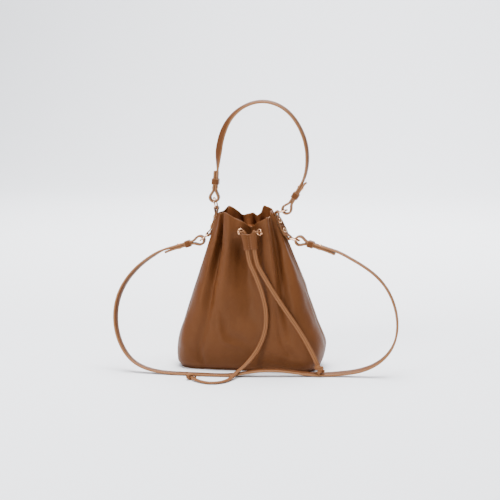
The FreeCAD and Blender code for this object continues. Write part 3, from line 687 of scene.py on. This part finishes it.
# folds of the front, from the left side seam to the right:
# rim level, then rows of level, x and depth behind the front
FRONT_FOLDS = [
    (247, [(2, -75, 0), (36, -84, 0.3), (78, -77, 0.2), (115, -73, 1), (145, -69, 3), (174, -63, 6), (205, -55, 7),
           (230, -50.5, 8), (255, -47.8, 10)]),
    (249, [(2, -69, 0.6), (27, -75, 2.4), (77, -64.5, 3.6), (115, -58.5, 7), (145, -54, 12), (174, -50, 18),
           (205, -45.5, 22), (227, -43.5, 17), (255, -44, 9)]),
    (250.5, [(2, -62, -0.4), (27, -68, -0.6), (77, -58, 0), (110, -52, 0), (145, -47.5, 0.5), (175, -43.5, 0.5),
           (205, -40.5, 1), (232, -39.8, 1), (258, -40.5, 3.5)]),
    (249, [(2, -54, -0.4), (27, -58, -1.2), (77, -49, -1.6), (110, -43, -2), (145, -38, -2.5), (175, -35, -3),
           (205, -32, -4), (232, -32.5, -4), (258, -34.5, -2)]),
    (242, [(2, -30, 0), (77, -31, -0.8), (110, -29, 0.4), (145, -26, 3.5), (175, -24, 5.5), (205, -22.5, 3.5),
           (222, -21.5, -0.5), (250, -22, 2)]),
    (236.5, [(2, -12, 0), (77, -13, 1), (110, -13, 5), (134, -13, 10), (160, -13, 15), (193, -13.5, 19), (205, -13, 12),
           (214, -12, 5), (222, -11.5, 2.2), (240, -10, 4)]),
    (226.5, [(2, 4, 0), (77, 5, 2), (96, 3, 6), (134, -2, 13), (160, -4, 20), (193, -2, 25), (205, 0, 24),
           (222, 1.5, 21), (235, 0, 19)]),
    (235.5, [(2, 22, 0), (77, 24, 0.6), (110, 20, 3), (134, 16, 7), (160, 12, 12), (193, 11, 18), (205, 13, 12),
           (214, 15.5, 5), (222, 16.4, 2.2), (240, 11, 4)]),
    (240, [(2, 38, 0), (36, 41, -0.6), (77, 40, -1), (110, 37, -1), (153, 31, 0.5), (205, 25, -1.5),
           (222, 23.5, -3), (250, 22, -1)]),
    (243.5, [(2, 52, 0), (36, 55, -0.6), (77, 52, -0.8), (110, 47.5, -1.8), (153, 42, -2.6), (205, 34.5, -4),
           (222, 31, -4.5), (250, 27.5, -2)]),
    (244.5, [(2, 61, 0.4), (36, 66, 1), (77, 60.5, 3), (96, 57, 5.5), (123, 53.5, 10), (160, 48, 17), (203, 41, 21),
           (230, 35, 18), (252, 29.6, 12)]),
    (246, [(2, 71, 0), (36, 78, 0.2), (78, 73, 1), (115, 71, 4), (160, 59, 11), (205, 48, 18), (230, 39, 18),
           (250, 30.3, 14)]),
]
# folds of the back, from right to left:
# x as a share of the half width, depth at the neck and at the rim, rim level
BACK_FOLDS = [
    (0.82, 6, 15, 256.5), (0.66, 18, 12, 257.5), (0.46, -3, 9, 247), (0.31, 15, 9, 242), (0.18, -3, 6, 245.5),
    (-0.02, 17, 9, 244), (-0.21, -4, 7, 242), (-0.41, 16, 15, 251), (-0.60, 4, 19, 256.5), (-0.75, 16, 13, 256),
]
SEGMENT = 9
ROWS = 112


def outline(level):
    return smooth_track(OUTLINE, level)


def rise_of(levels, start, end):
    share = np.clip((levels - start) / (end - start), 0, 1)
    return share * share * (3 - 2 * share)


def side_track(levels, sign, facing, part):
    """Points beside a side seam, front or back: on the seam, just past it, and on the corner."""
    half_width, half_depth, corner, shift = outline(levels).T
    side = shift + sign * half_width
    upper, mouth = np.clip((levels - 120) / 90, 0, 1), rise_of(levels, 215, 250)
    if part == "seam":
        return np.stack([side, np.full_like(side, -1.0), levels], -1)
    turned = facing < 0 and sign > 0  # this quarter carries the tab that looks forward
    if part == "beside":
        y = (half_depth - corner) * (1 - upper) + (9.0 - 2 * mouth) * upper
        return np.stack([side - sign * ((3.6 - 2.6 * mouth) if turned else 0.5) * upper,
                         facing * y, levels], -1)
    inward = corner * CORNER * (1 - upper) + ((4.5 - 2.5 * mouth) if turned else (8 - 3 * mouth)) * upper
    behind = corner * CORNER * (1 - upper) + ((19 - 2 * mouth) if sign > 0 else (13 + 2.5 * mouth)) * upper
    return np.stack([side - sign * inward, facing * (half_depth - behind), levels], -1)


def front_track(levels, rows):
    x, behind = smooth_track(rows, levels).T
    return np.stack([x, -(outline(levels)[:, 1] - behind), levels], -1)


def back_track(levels, share, depth, rim_depth):
    half_width, half_depth, _, shift = outline(levels).T
    behind = depth * rise_of(levels, 45, 210) + (rim_depth - depth) * rise_of(levels, 212, 250)
    return np.stack([shift + share * half_width, half_depth - behind, levels], -1)


def body_grid():
    """The body's outer face: rows from hem to rim, columns from the left seam round the front and back."""
    heights = np.linspace(0, 1, ROWS)
    lines = []

    def add(rim, track, *rest):
        lines.append(track(HEM + heights * (rim - HEM), *rest))

    add(RIM, side_track, -1, -1, "seam")
    add(RIM + 0.5, side_track, -1, -1, "beside")
    add(RIM, side_track, -1, -1, "corner")
    for rim, rows in FRONT_FOLDS:
        add(rim, front_track, rows)
    add(RIM + 4.5, side_track, 1, -1, "corner")
    add(RIM + 5, side_track, 1, -1, "beside")
    seam = len(lines)
    add(RIM + 5.5, side_track, 1, -1, "seam")
    add(RIM + 7, side_track, 1, 1, "beside")
    add(RIM + 9, side_track, 1, 1, "corner")
    for share, depth, rim_depth, rim in BACK_FOLDS:
        add(rim, back_track, share, depth, rim_depth)
    add(RIM + 2, side_track, -1, 1, "corner")
    add(RIM + 0.5, side_track, -1, 1, "beside")
    knots = np.stack(lines, 1)
    return ring_curves(knots), seam * SEGMENT


def ring_curves(knots):
    """A smooth closed curve through each row's points, with the same number of samples between them."""
    ahead, behind = np.roll(knots, -1, 1) - knots, knots - np.roll(knots, 1, 1)
    length = np.linalg.norm(ahead[..., :2], axis=-1, keepdims=True)
    before = np.roll(length, 1, 1)
    slopes = (ahead / length * before + behind / before * length) / (length + before)
    following = np.roll(slopes, -1, 1)
    columns = []
    for k in range(knots.shape[1]):
        for step in range(SEGMENT):
            s = step / SEGMENT
            start, end = knots[:, k], knots[:, (k + 1) % knots.shape[1]]
            rise = (s * (1 - s) ** 2 * length[:, k] * slopes[:, k]
                    + s * s * (s - 1) * length[:, k] * following[:, k])
            columns.append((1 + 2 * s) * (1 - s) ** 2 * start + s * s * (3 - 2 * s) * end + rise)
    return np.stack(columns, 1)


def grid_normals(grid):
    along = np.roll(grid, -1, 1) - np.roll(grid, 1, 1)
    up = np.gradient(grid, axis=0)
    return unit(np.cross(along, up))


# wrinkles of the front: points as x and level, then width and height
WRINKLES = [
    ([(-46, 92), (-43.5, 66), (-38, 49), (-26, 43.5), (-12, 41), (-2, 31)], 3.6, 1.7),
    ([(-36, 84), (-33, 64), (-24, 55), (-8, 52), (4, 44)], 6.0, -1.6),
    ([(47, 104), (50, 78), (55, 50), (70, 26)], 3.8, -1.8),
    ([(54, 98), (58, 74), (66, 50), (88, 30)], 5.0, 1.3),
    ([(20, 40), (48, 30), (78, 20), (104, 15)], 4.0, 1.0),
    ([(-96, 60), (-88, 34), (-70, 18)], 7.0, -1.0),
    ([(14, 92), (18, 66), (12, 40)], 7.0, -1.3),
    ([(86, 120), (97, 84), (102, 50)], 6.0, -1.0),
    ([(-84, 150), (-94, 108), (-100, 70)], 9.0, -1.2),
]
BACK_WRINKLES = [
    ([(30, 90), (24, 60), (0, 42), (-26, 48)], 5.0, 1.3),
    ([(-52, 96), (-60, 60), (-78, 30)], 5.5, -1.4),
    ([(60, 84), (70, 50), (90, 24)], 5.0, -1.2),
]


def wrinkle_height(grid, wrinkles, mask):
    rise = np.zeros(grid.shape[:2])
    flat = grid[..., [0, 2]]
    for points, width, height in wrinkles:
        nearest = np.full(grid.shape[:2], 1e9)
        fade = np.zeros(grid.shape[:2])
        count = len(points) - 1
        for index, (a, b) in enumerate(zip(points, points[1:])):
            a, b = np.array(a, float), np.array(b, float)
            share = np.clip(np.sum((flat - a) * (b - a), -1) / np.sum((b - a) ** 2), 0, 1)
            distance = np.linalg.norm(flat - (a + share[..., None] * (b - a)), axis=-1)
            place = (index + share) / count
            closer = distance < nearest
            nearest = np.where(closer, distance, nearest)
            fade = np.where(closer, np.sin(math.pi * (0.12 + 0.76 * place)), fade)
        rise += height * fade * np.exp(-((nearest / width) ** 2))
    return rise * mask


def unevenness(grid):
    """The soft waviness of thin leather, largest at mid height."""
    rise = np.zeros(grid.shape[:2])
    for r in range(grid.shape[0]):
        for c in range(grid.shape[1]):
            x, y, z = grid[r, c]
            rise[r, c] = 2.6 * noise.noise(Vector((x / 36, y / 36, z / 58)))
            rise[r, c] += 1.0 * noise.noise(Vector((x / 15 + 7, y / 15, z / 26)))
    level = grid[..., 2]
    quiet = np.clip((level - 4) / 30, 0, 1) * np.clip((262 - level) / 60, 0.35, 1)
    beside = np.clip((np.abs(grid[..., 1] + 1) - 7) / 12, 0, 1)
    return rise * quiet * beside


def shape_body():
    grid, seam = body_grid()
    normals = grid_normals(grid)
    forward = np.clip((-grid[..., 1] - 8) / 14, 0, 1)
    backward = np.clip((grid[..., 1] - 8) / 14, 0, 1)
    rise = wrinkle_height(grid, WRINKLES, forward) + wrinkle_height(grid, BACK_WRINKLES, backward)
    rise += unevenness(grid)
    columns = np.arange(grid.shape[1])
    for at in (0, seam):
        gap = np.minimum(np.abs(columns - at), grid.shape[1] - np.abs(columns - at))
        rise -= np.where(gap == 0, 0.9, np.where(gap == 1, 0.1, 0.0))[None, :]
    return grid + normals * rise[..., None], seam


EYELET_TURN = {"left": 0.78, "right": -0.62}


def eyelet_place(side):
    """An eyelet's middle, on the flank of a fold, its Z out of the bag."""
    low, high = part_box(f"eyelet_{side}")
    middle = (low + high) / 2
    turn = EYELET_TURN[side]
    out = Vector((math.sin(turn), -math.cos(turn), 0.12))
    return placement(middle, out, (1, 0, 0))


def eyelet_mask(grid):
    """Faces to keep: all but those inside the eyelets' holes."""
    centres = (grid[:-1] + grid[1:]) / 2
    keep = np.ones(centres.shape[:2], bool)
    for side in SIDES:
        inverse = eyelet_place(side).inverted()
        matrix = np.array(inverse)
        local = centres * MM @ matrix[:3, :3].T + matrix[:3, 3]
        keep &= ~((np.hypot(local[..., 0], local[..., 1]) < 3.9 * MM) & (np.abs(local[..., 2]) < 12 * MM))
    return keep


def make_panels(grid, seam):
    count = grid.shape[1]
    for name, columns in (("front_panel", range(0, seam + 1)), ("back_panel", range(seam, count + 1))):
        part = grid[:, [c % count for c in columns]]
        level = part[..., 2]
        top = level.max(axis=0, keepdims=True)
        tone = np.clip(1 - (top - level) / 1.2, 0, 1) * 0.0
        panel = surface(f"{name}_leather", part * MM, keep=eyelet_mask(part), tone=tone.reshape(-1))
        paint(panel, BODY_LEATHER, EDGE_PAINT, INNER_LEATHER)
        thicken(panel, PANEL * MM, 1, 2)
        place_piece(panel, "bag", "leather_body", name)


def band(name, grid, levels, inset, rows, columns, material, thickness):
    """A strip inside the neck that follows the body's folds between two levels."""
    count = grid.shape[1]
    part = grid[:, [c % count for c in columns]]
    normals = grid_normals(part)
    normals[:, 0], normals[:, -1] = normals[:, 1], normals[:, -2]
    out = np.zeros((rows, part.shape[1], 3))
    for r in range(rows):
        level = levels[0] + (levels[1] - levels[0]) * r / (rows - 1)
        for c in range(part.shape[1]):
            z = part[:, c, 2]
            k = int(np.clip(np.searchsorted(z, level) - 1, 0, len(z) - 2))
            share = np.clip((level - z[k]) / (z[k + 1] - z[k]), 0, 1)
            point = part[k, c] * (1 - share) + part[k + 1, c] * share
            out[r, c] = point - normals[k, c] * inset[min(r, len(inset) - 1)]
    for _ in range(2):
        out[:, 1:-1] = out[:, 1:-1] * 0.5 + (out[:, :-2] + out[:, 2:]) * 0.25
    strip = paint(surface(name, out * MM), material, EDGE_PAINT, INNER_LEATHER)
    return thicken(strip, thickness * MM, 1, 0)


def make_neck_inside(grid, seam):
    count = grid.shape[1]
    middle = int(SEGMENT * 8)
    casing = band("casing_leather", grid, (207, 226), (2.0, 2.6, 4.2, 4.6, 4.6, 4.2, 2.6, 2.0), 8,
                  range(middle, middle + count + 1), INNER_LEATHER, 0.9)
    place_piece(casing, "bag", "leather_body", "drawstring_casing")
    gap = int(SEGMENT * 1.0)
    lace = band("lace_in_channel", grid, (217, 223.5), (2.3, 2.3, 2.3), 3,
                range(middle + gap, middle + count - gap + 1), LACE_LEATHER, 1.4)
    place_piece(lace, "bag", "leather_lace", "drawstring_loop")


def make_base(grid):
    """The flat base, its edge turned in under the hem."""
    hem = grid[0].copy()
    centre = hem.mean(axis=0)
    rings = []
    for level, inward in ((2.0, 1.0), (1.0, 0.2), (0.35, 0.6), (0.0, 2.0), (0.0, 12.0), (0.0, 45.0)):
        ring = hem.copy()
        offset = ring[:, :2] - centre[:2]
        length = np.linalg.norm(offset, axis=1, keepdims=True)
        ring[:, :2] = centre[:2] + offset * (1 - np.minimum(inward, 39) / length)
        ring[:, 2] = level
        rings.append(ring)
    plate = np.stack(rings[::-1], 0) * MM
    rows, columns = plate.shape[:2]
    faces = [(r * columns + c, r * columns + (c + 1) % columns, (r + 1) * columns + (c + 1) % columns,
              (r + 1) * columns + c) for r in range(rows - 1) for c in range(columns)]
    faces.append(tuple(range(columns)))
    faces.append(tuple((rows - 1) * columns + c for c in range(columns)))
    base = fix_normals(paint(new_object("base_leather", plate.reshape(-1, 3), faces), BODY_LEATHER))
    place_piece(base, "bag", "leather_base", "base_panel")


def make_side_seams(grid, seam):
    """Stitches down each side, just behind the seam."""
    for side, column in (("left", grid.shape[1] - 4), ("right", seam + 4)):
        line = grid[:, column]
        normals = grid_normals(grid)[:, column]
        marks = np.concatenate([[0], np.cumsum(np.linalg.norm(np.diff(line, axis=0), axis=1))])
        starts, ways, out = [], [], []
        for mark in np.arange(14, marks[-1] - 2, 4.0):
            k = int(np.searchsorted(marks, mark))
            if 198 < line[k][2] < 258:
                continue
            starts.append(line[k] + normals[k] * 0.1)
            ways.append(line[min(k + 1, len(line) - 1)] - line[k - 1])
            out.append(normals[k])
        place_piece(stitches(f"side_stitches_{side}", starts, ways, out), "bag", "leather_body")


def make_eyelets():
    """A rolled ring with its barrel, and the washer behind it."""
    front = [(3.2, -1.6), (3.2, -0.2), (3.45, 0.55), (3.95, 1.0), (4.6, 0.95), (5.25, 0.5), (5.5, 0.0), (5.3, -0.15),
             (4.1, -0.15), (4.1, -2.6), (3.2, -2.6), (3.2, -1.6)]
    back = [(4.1, -1.7), (5.5, -1.7), (5.5, -2.3), (4.8, -2.6), (4.1, -2.5), (4.1, -1.7)]
    for side in SIDES:
        place = eyelet_place(side)
        for name, profile in ((f"eyelet_{side}", front), (f"eyelet_washer_{side}", back)):
            ring = paint(lathe(f"{name}_metal", profile, place), GOLD)
            place_piece(ring, "bag", "pale_gold_metal", name)


# ---------------------------------------------------------------- straps, tabs and keepers
STRAP_WIDTH, STRAP_THICKNESS = 12.0, 3.5
STRAND_GAP = 0.25
GRIP = 8.1
EYE_RADIUS, EYE_RISE, EYE_LENGTH = 6.9, 1.6, 14.0
SAMPLE = 2.5
RING_LEANS = {
    "ring_upper_left": (-0.25, 0, 0.97),
    "ring_upper_right": (0.96, 0, 0.28),
    "ring_lower_left": (-0.80, 0, -0.60),
    "ring_lower_right": (0.97, 0, -0.24),
}


class StrapEnd:
    """One end of a strap: its turn round a ring, the stretch through its keeper, and its tip. Millimetres."""

    def __init__(self, ring, along, inward, keeper, straight, tip, spread):
        low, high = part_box(ring)
        self.wrap = np.array((low + high) / 2) / MM + unit(np.array(RING_LEANS[ring])) * GRIP
        self.along = unit(np.array(along, float))
        across = unit(np.cross(self.along, [0.0, 1.0, 0.0]))
        self.across = across if np.dot(across, inward) > 0 else -across
        self.keeper, self.straight, self.tip, self.spread = keeper, straight, tip, spread
        self.near = (STRAP_THICKNESS + STRAND_GAP) / 2

    def at(self, distance, offset=0.0):
        return self.wrap + self.along * distance + self.across * offset

    def run(self):
        """Centre line from the main strand, round the ring, to the tip."""
        points = [self.at(d, self.near) for d in np.arange(self.straight - SAMPLE, EYE_LENGTH + 1, -SAMPLE)]
        half = []
        for share in np.linspace(0, 1, 7):
            ease = share * share * (3 - 2 * share)
            half.append((EYE_LENGTH + (EYE_RISE - EYE_LENGTH) * share,
                         self.near + (EYE_RADIUS - self.near) * ease))
        angles = np.linspace(0, math.pi, 17)[1:-1]
        turn = [(EYE_RISE - EYE_RADIUS * math.sin(a), EYE_RADIUS * math.cos(a)) for a in angles]
        points += [self.at(s, n) for s, n in half + turn + [(s, -n) for s, n in half[::-1]]]
        free = self.keeper + 20
        for distance in np.arange(EYE_LENGTH + SAMPLE, self.tip + 0.1, SAMPLE):
            share = max(0.0, distance - free) / max(self.tip - free, 6)
            points.append(self.at(distance, -self.near - self.spread * share**2))
        return points


HANDLE_ENDS = (
    StrapEnd("ring_upper_left", (0.08, 0, 0.997), (1, 0, 0), 27, 40, 46, 0.5),
    StrapEnd("ring_upper_right", (0.53, 0, 0.85), (-1, 0, 0), 27, 47, 56, 3.0),
)
HANDLE_ROUTE = [
    (-53.6, 0, 345, 66), (-46.2, 0, 376, 60), (-35, 0, 396.5, 38), (-13.7, 0, 415, 20), (18.2, 0, 423.3, 14),
    (50.7, 0, 412.5, 12), (73.5, 0, 387, 12), (86, 0, 355, 14), (88, 0, 332, 12), (85.5, 0, 311, 6),
]
STRAP_ENDS = (
    StrapEnd("ring_lower_left", (-0.949, -0.137, -0.283), (0, 0, 1), 22, 58, 63, 1.5),
    StrapEnd("ring_lower_right", (0.958, -0.067, -0.277), (0, 0, 1), 20, 58, 62, 1.5),
)
STRAP_ROUTE = [
    (-157, -11.5, 178.5, 14), (-190, -23, 151, 20), (-209.5, -38, 116, 20), (-212.5, -52, 81, 16),
    (-202, -66, 46.5, 8), (-176, -78, 16.5, 0), (-140, -84.5, 4.6, 0), (-105, -86.5, 2.5, 0),
    (-60, -86.5, 2.3, 0), (-15, -83, 3.2, 0), (20, -77, 8.5, 0), (62, -69, 8.5, 0), (105, -61, 3.5, 6),
    (150, -54, 5.0, 16), (181, -50.5, 10.5, 16), (210, -46.5, 25, 8), (229.5, -40, 50, 0),
    (234.5, -31.5, 82, 0), (227.5, -23.5, 113.5, 0), (210.5, -16.5, 142, 0), (179, -10, 167.5, 0),
    (159, -7, 178.5, 0),
]


def make_strap(name, node, body, ends, route):
    """A strap from tip to tip. The route holds x, y, z and roll between the two ends' straight stretches."""
    first, last = ends
    points = [first.at(first.straight, first.near), *[p[:3] for p in route],
              last.at(last.straight, last.near)]
    rolls = np.array([0, *[p[3] for p in route], 0], float)
    middle, marks = cubic_curve(points, first.along, -last.along, SAMPLE)
    roll = np.radians(np.interp(marks, np.arange(len(rolls)), rolls))
    centres = [*first.run()[::-1], *middle, *last.run()]
    angles = np.zeros(len(centres))
    offset = len(first.run())
    angles[offset:offset + len(middle)] = roll
    tangents = unit(np.gradient(np.array(centres), axis=0))
    across = []
    for tangent, angle in zip(tangents, angles):
        side = Vector((0, 1, 0)) - Vector(tangent) * tangent[1]
        across.append(Matrix.Rotation(angle, 3, Vector(tangent)) @ side.normalized())
    strap = sweep(name, centres, across, flat_section(STRAP_WIDTH, STRAP_THICKNESS, crease=0.22))
    round_tips(strap)
    paint(strap, STRAP_LEATHER)
    place_piece(strap, body, "leather_strap", node)


def round_tips(strap):
    """The strap's cut ends are softened."""
    bevel = strap.modifiers.new("tips", "BEVEL")
    bevel.width, bevel.segments = 0.5 * MM, 2
    bevel.limit_method, bevel.angle_limit = "ANGLE", math.radians(60)
    apply_modifiers(strap)


def rounded_loop(half_x, half_y, radius, steps=6):
    """A closed rounded rectangle as a list of x and y."""
    points = []
    for sx, sy, start in ((1, 1, 0), (-1, 1, 90), (-1, -1, 180), (1, -1, 270)):
        for step in range(steps):
            angle = math.radians(start + 90 * step / (steps - 1))
            points.append((sx * (half_x - radius) + radius * math.cos(angle),
                           sy * (half_y - radius) + radius * math.sin(angle)))
    return fill_gaps(points, 1.5)


def fill_gaps(points, spacing):
    """The same closed outline with points added along its long straights."""
    filled = []
    for a, b in zip(points, points[1:] + points[:1]):
        gap = math.dist(a, b)
        count = max(1, int(gap / spacing))
        filled += [(a[0] + (b[0] - a[0]) * i / count, a[1] + (b[1] - a[1]) * i / count) for i in range(count)]
    return filled


def make_keeper(name, body, end):
    """A leather loop round both layers of the strap."""
    wall = 1.5
    half_x = STRAP_WIDTH / 2 + 0.4 + wall / 2
    half_y = (2 * STRAP_THICKNESS + STRAND_GAP) / 2 + 0.4 + wall / 2
    side = np.cross(end.along, end.across)
    middle = end.at(end.keeper)
    ring = [middle + side * x + end.across * y for x, y in rounded_loop(half_x, half_y, 2.2)]
    loop = sweep(f"{name}_loop", ring, np.tile(end.along, (len(ring), 1)), flat_section(9.5, wall, 0.45, 0.12, 1.1),
                 closed=True)
    paint(loop, STRAP_LEATHER)
    place_piece(loop, body, "leather_trim", name)


TAB = {"left": ((-59.63, 0, 231.5), (-0.95358, 0, 0.30113)),
       "right": ((45.86, 0, 226.5), (0.89128, 0, 0.45346))}
TAB_TURN = {"left": 10, "right": 30}
TAB_REACH, TAB_WIDTH, RIVET_REACH, RIVET_RADIUS = 22.2, 12.5, 8.3, 4.0
LAYER = 1.9
TAB_TOP = 0.3 + 2 * LAYER


class Tab:
    """A side tab's frame: along it, out of the bag, and its turn towards the front between its ends."""

    def __init__(self, side):
        place, out = TAB[side]
        self.out = unit(np.array(out))
        self.place = np.array(place) + self.out * 0.6
        self.up = np.cross([0.0, 1.0, 0.0], self.out)
        self.up = self.up if self.up[2] > 0 else -self.up
        self.turn = math.radians(TAB_TURN[side])

    def ways(self, distance):
        """The strip's outward and width ways at a distance along it."""
        share = min(1.0, max(0.0, (19.0 - abs(distance)) / 9.0))
        angle = self.turn * share * share * (3 - 2 * share)
        width = np.array([0.0, 1.0, 0.0])
        out = self.out * math.cos(angle) - width * math.sin(angle)
        return out, width * math.cos(angle) + self.out * math.sin(angle)

    def at(self, distance, lift):
        return self.place + self.up * distance + self.ways(distance)[0] * lift


def tab_path(end):
    """Distance along and lift of one folded half's centre line: out over the ring and back underneath."""
    fold, centre_lift = 2.9, 4.35
    path = [(distance, 0.3 + LAYER * 1.5) for distance in np.linspace(0, TAB_REACH - 7, 9)]
    for angle in np.linspace(math.radians(120), math.radians(-120), 15):
        path.append((TAB_REACH + fold * math.cos(angle), centre_lift + fold * math.sin(angle)))
    path += [(distance, 0.15 + LAYER / 2) for distance in np.linspace(TAB_REACH - 7, 0, 9)]
    for _ in range(2):
        inner = [((a[0] + 2 * b[0] + c[0]) / 4, (a[1] + 2 * b[1] + c[1]) / 4)
                 for a, b, c in zip(path, path[1:], path[2:])]
        path = [path[0], *inner, path[-1]]
    return [(end * distance, lift) for distance, lift in path]


TAB_ENDS = ((1, "upper", "top_handle"), (-1, "lower", "shoulder_strap"))


def make_tab_half(side, tab, end, name):
    """Half of the strip, stitched along its edges. It turns towards the front between its middle and its fold."""
    path = tab_path(end)
    strip = sweep(f"tab_{side}_strip", [tab.at(u, n) for u, n in path], [tab.ways(u)[1] for u, _ in path],
                  flat_section(TAB_WIDTH, LAYER, 0.45, 0.15, 1.5), cut_ends=False)
    paint(strip, STRAP_LEATHER)
    starts, ways, normals = [], [], []
    for distance in np.arange(1.7, 17.1, 3.4) * end:
        out, width = tab.ways(distance)
        for edge in (-1, 1):
            starts.append(tab.at(distance, TAB_TOP + 0.02) + width * edge * (TAB_WIDTH / 2 - 1.5))
            ways.append(tab.up)
            normals.append(out)
    seam = stitches(f"tab_{side}_stitches", starts, ways, normals, 2.3, 0.3)
    half = join(f"tab_{side}_{name}", [strip, seam])
    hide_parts(f"side_tab_{side}")
    still, moving = tab.at(end * 12.5, TAB_TOP / 2), tab.at(end * 19.0, TAB_TOP / 2)
    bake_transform(half)


def make_tab(side):
    """A strip folded round a ring at each end, held by two domed rivets."""
    tab = Tab(side)
    for end, name, swinging in TAB_ENDS:
        make_tab_half(side, tab, end, name)
    heads = []
    for sign in (-1, 1):
        out = tab.ways(sign * RIVET_REACH)[0]
        dome = [(RIVET_RADIUS * math.cos(a), 1.4 * math.sin(a))
                for a in np.linspace(0, math.pi / 2 * 0.99, 9)]
        profile = [(1.5, -3.9), (1.5, -0.3), (RIVET_RADIUS - 0.2, -0.3), (RIVET_RADIUS, -0.1), *dome]
        place = placement(tab.at(sign * RIVET_REACH, TAB_TOP) * MM, out, tab.up)
        heads.append(paint(lathe("rivet", profile, place), GOLD))
    place_piece(join(f"tab_{side}_rivets", heads), "bag", "pale_gold_metal", f"tab_rivets_{side}")


def finish_metal():
    """The frame's own rings, studs and rivet washers keep their shapes and take the plating."""
    names = [f"ring_{level}_{side}" for level in ("upper", "lower") for side in SIDES]
    names += [f"{strap}_stud_{side}" for strap in ("handle", "strap") for side in SIDES]
    names += [f"rivet_washers_{side}" for side in SIDES]
    for name in names:
        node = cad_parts[name]
        for slot in node.material_slots:
            slot.material = GOLD
        node.data.polygons.foreach_set("use_smooth", [True] * len(node.data.polygons))
    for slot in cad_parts["base_board"].material_slots:
        slot.material = board("base_board")


# ---------------------------------------------------------------- build
make_camera()
make_lights()
make_backdrop()
make_cords()
make_slider()
body, right_seam = shape_body()
make_panels(body, right_seam)
make_neck_inside(body, right_seam)
make_base(body)
make_side_seams(body, right_seam)
make_eyelets()
make_strap("handle_leather", "handle_strap", "top_handle", HANDLE_ENDS, HANDLE_ROUTE)
make_strap("shoulder_leather", "long_strap", "shoulder_strap", STRAP_ENDS, STRAP_ROUTE)
for index, side_name in enumerate(SIDES):
    make_keeper(f"handle_keeper_{side_name}", f"handle_keeper_{side_name}", HANDLE_ENDS[index])
    make_keeper(f"strap_keeper_{side_name}", f"strap_keeper_{side_name}", STRAP_ENDS[index])
    make_tab(side_name)
finish_metal()
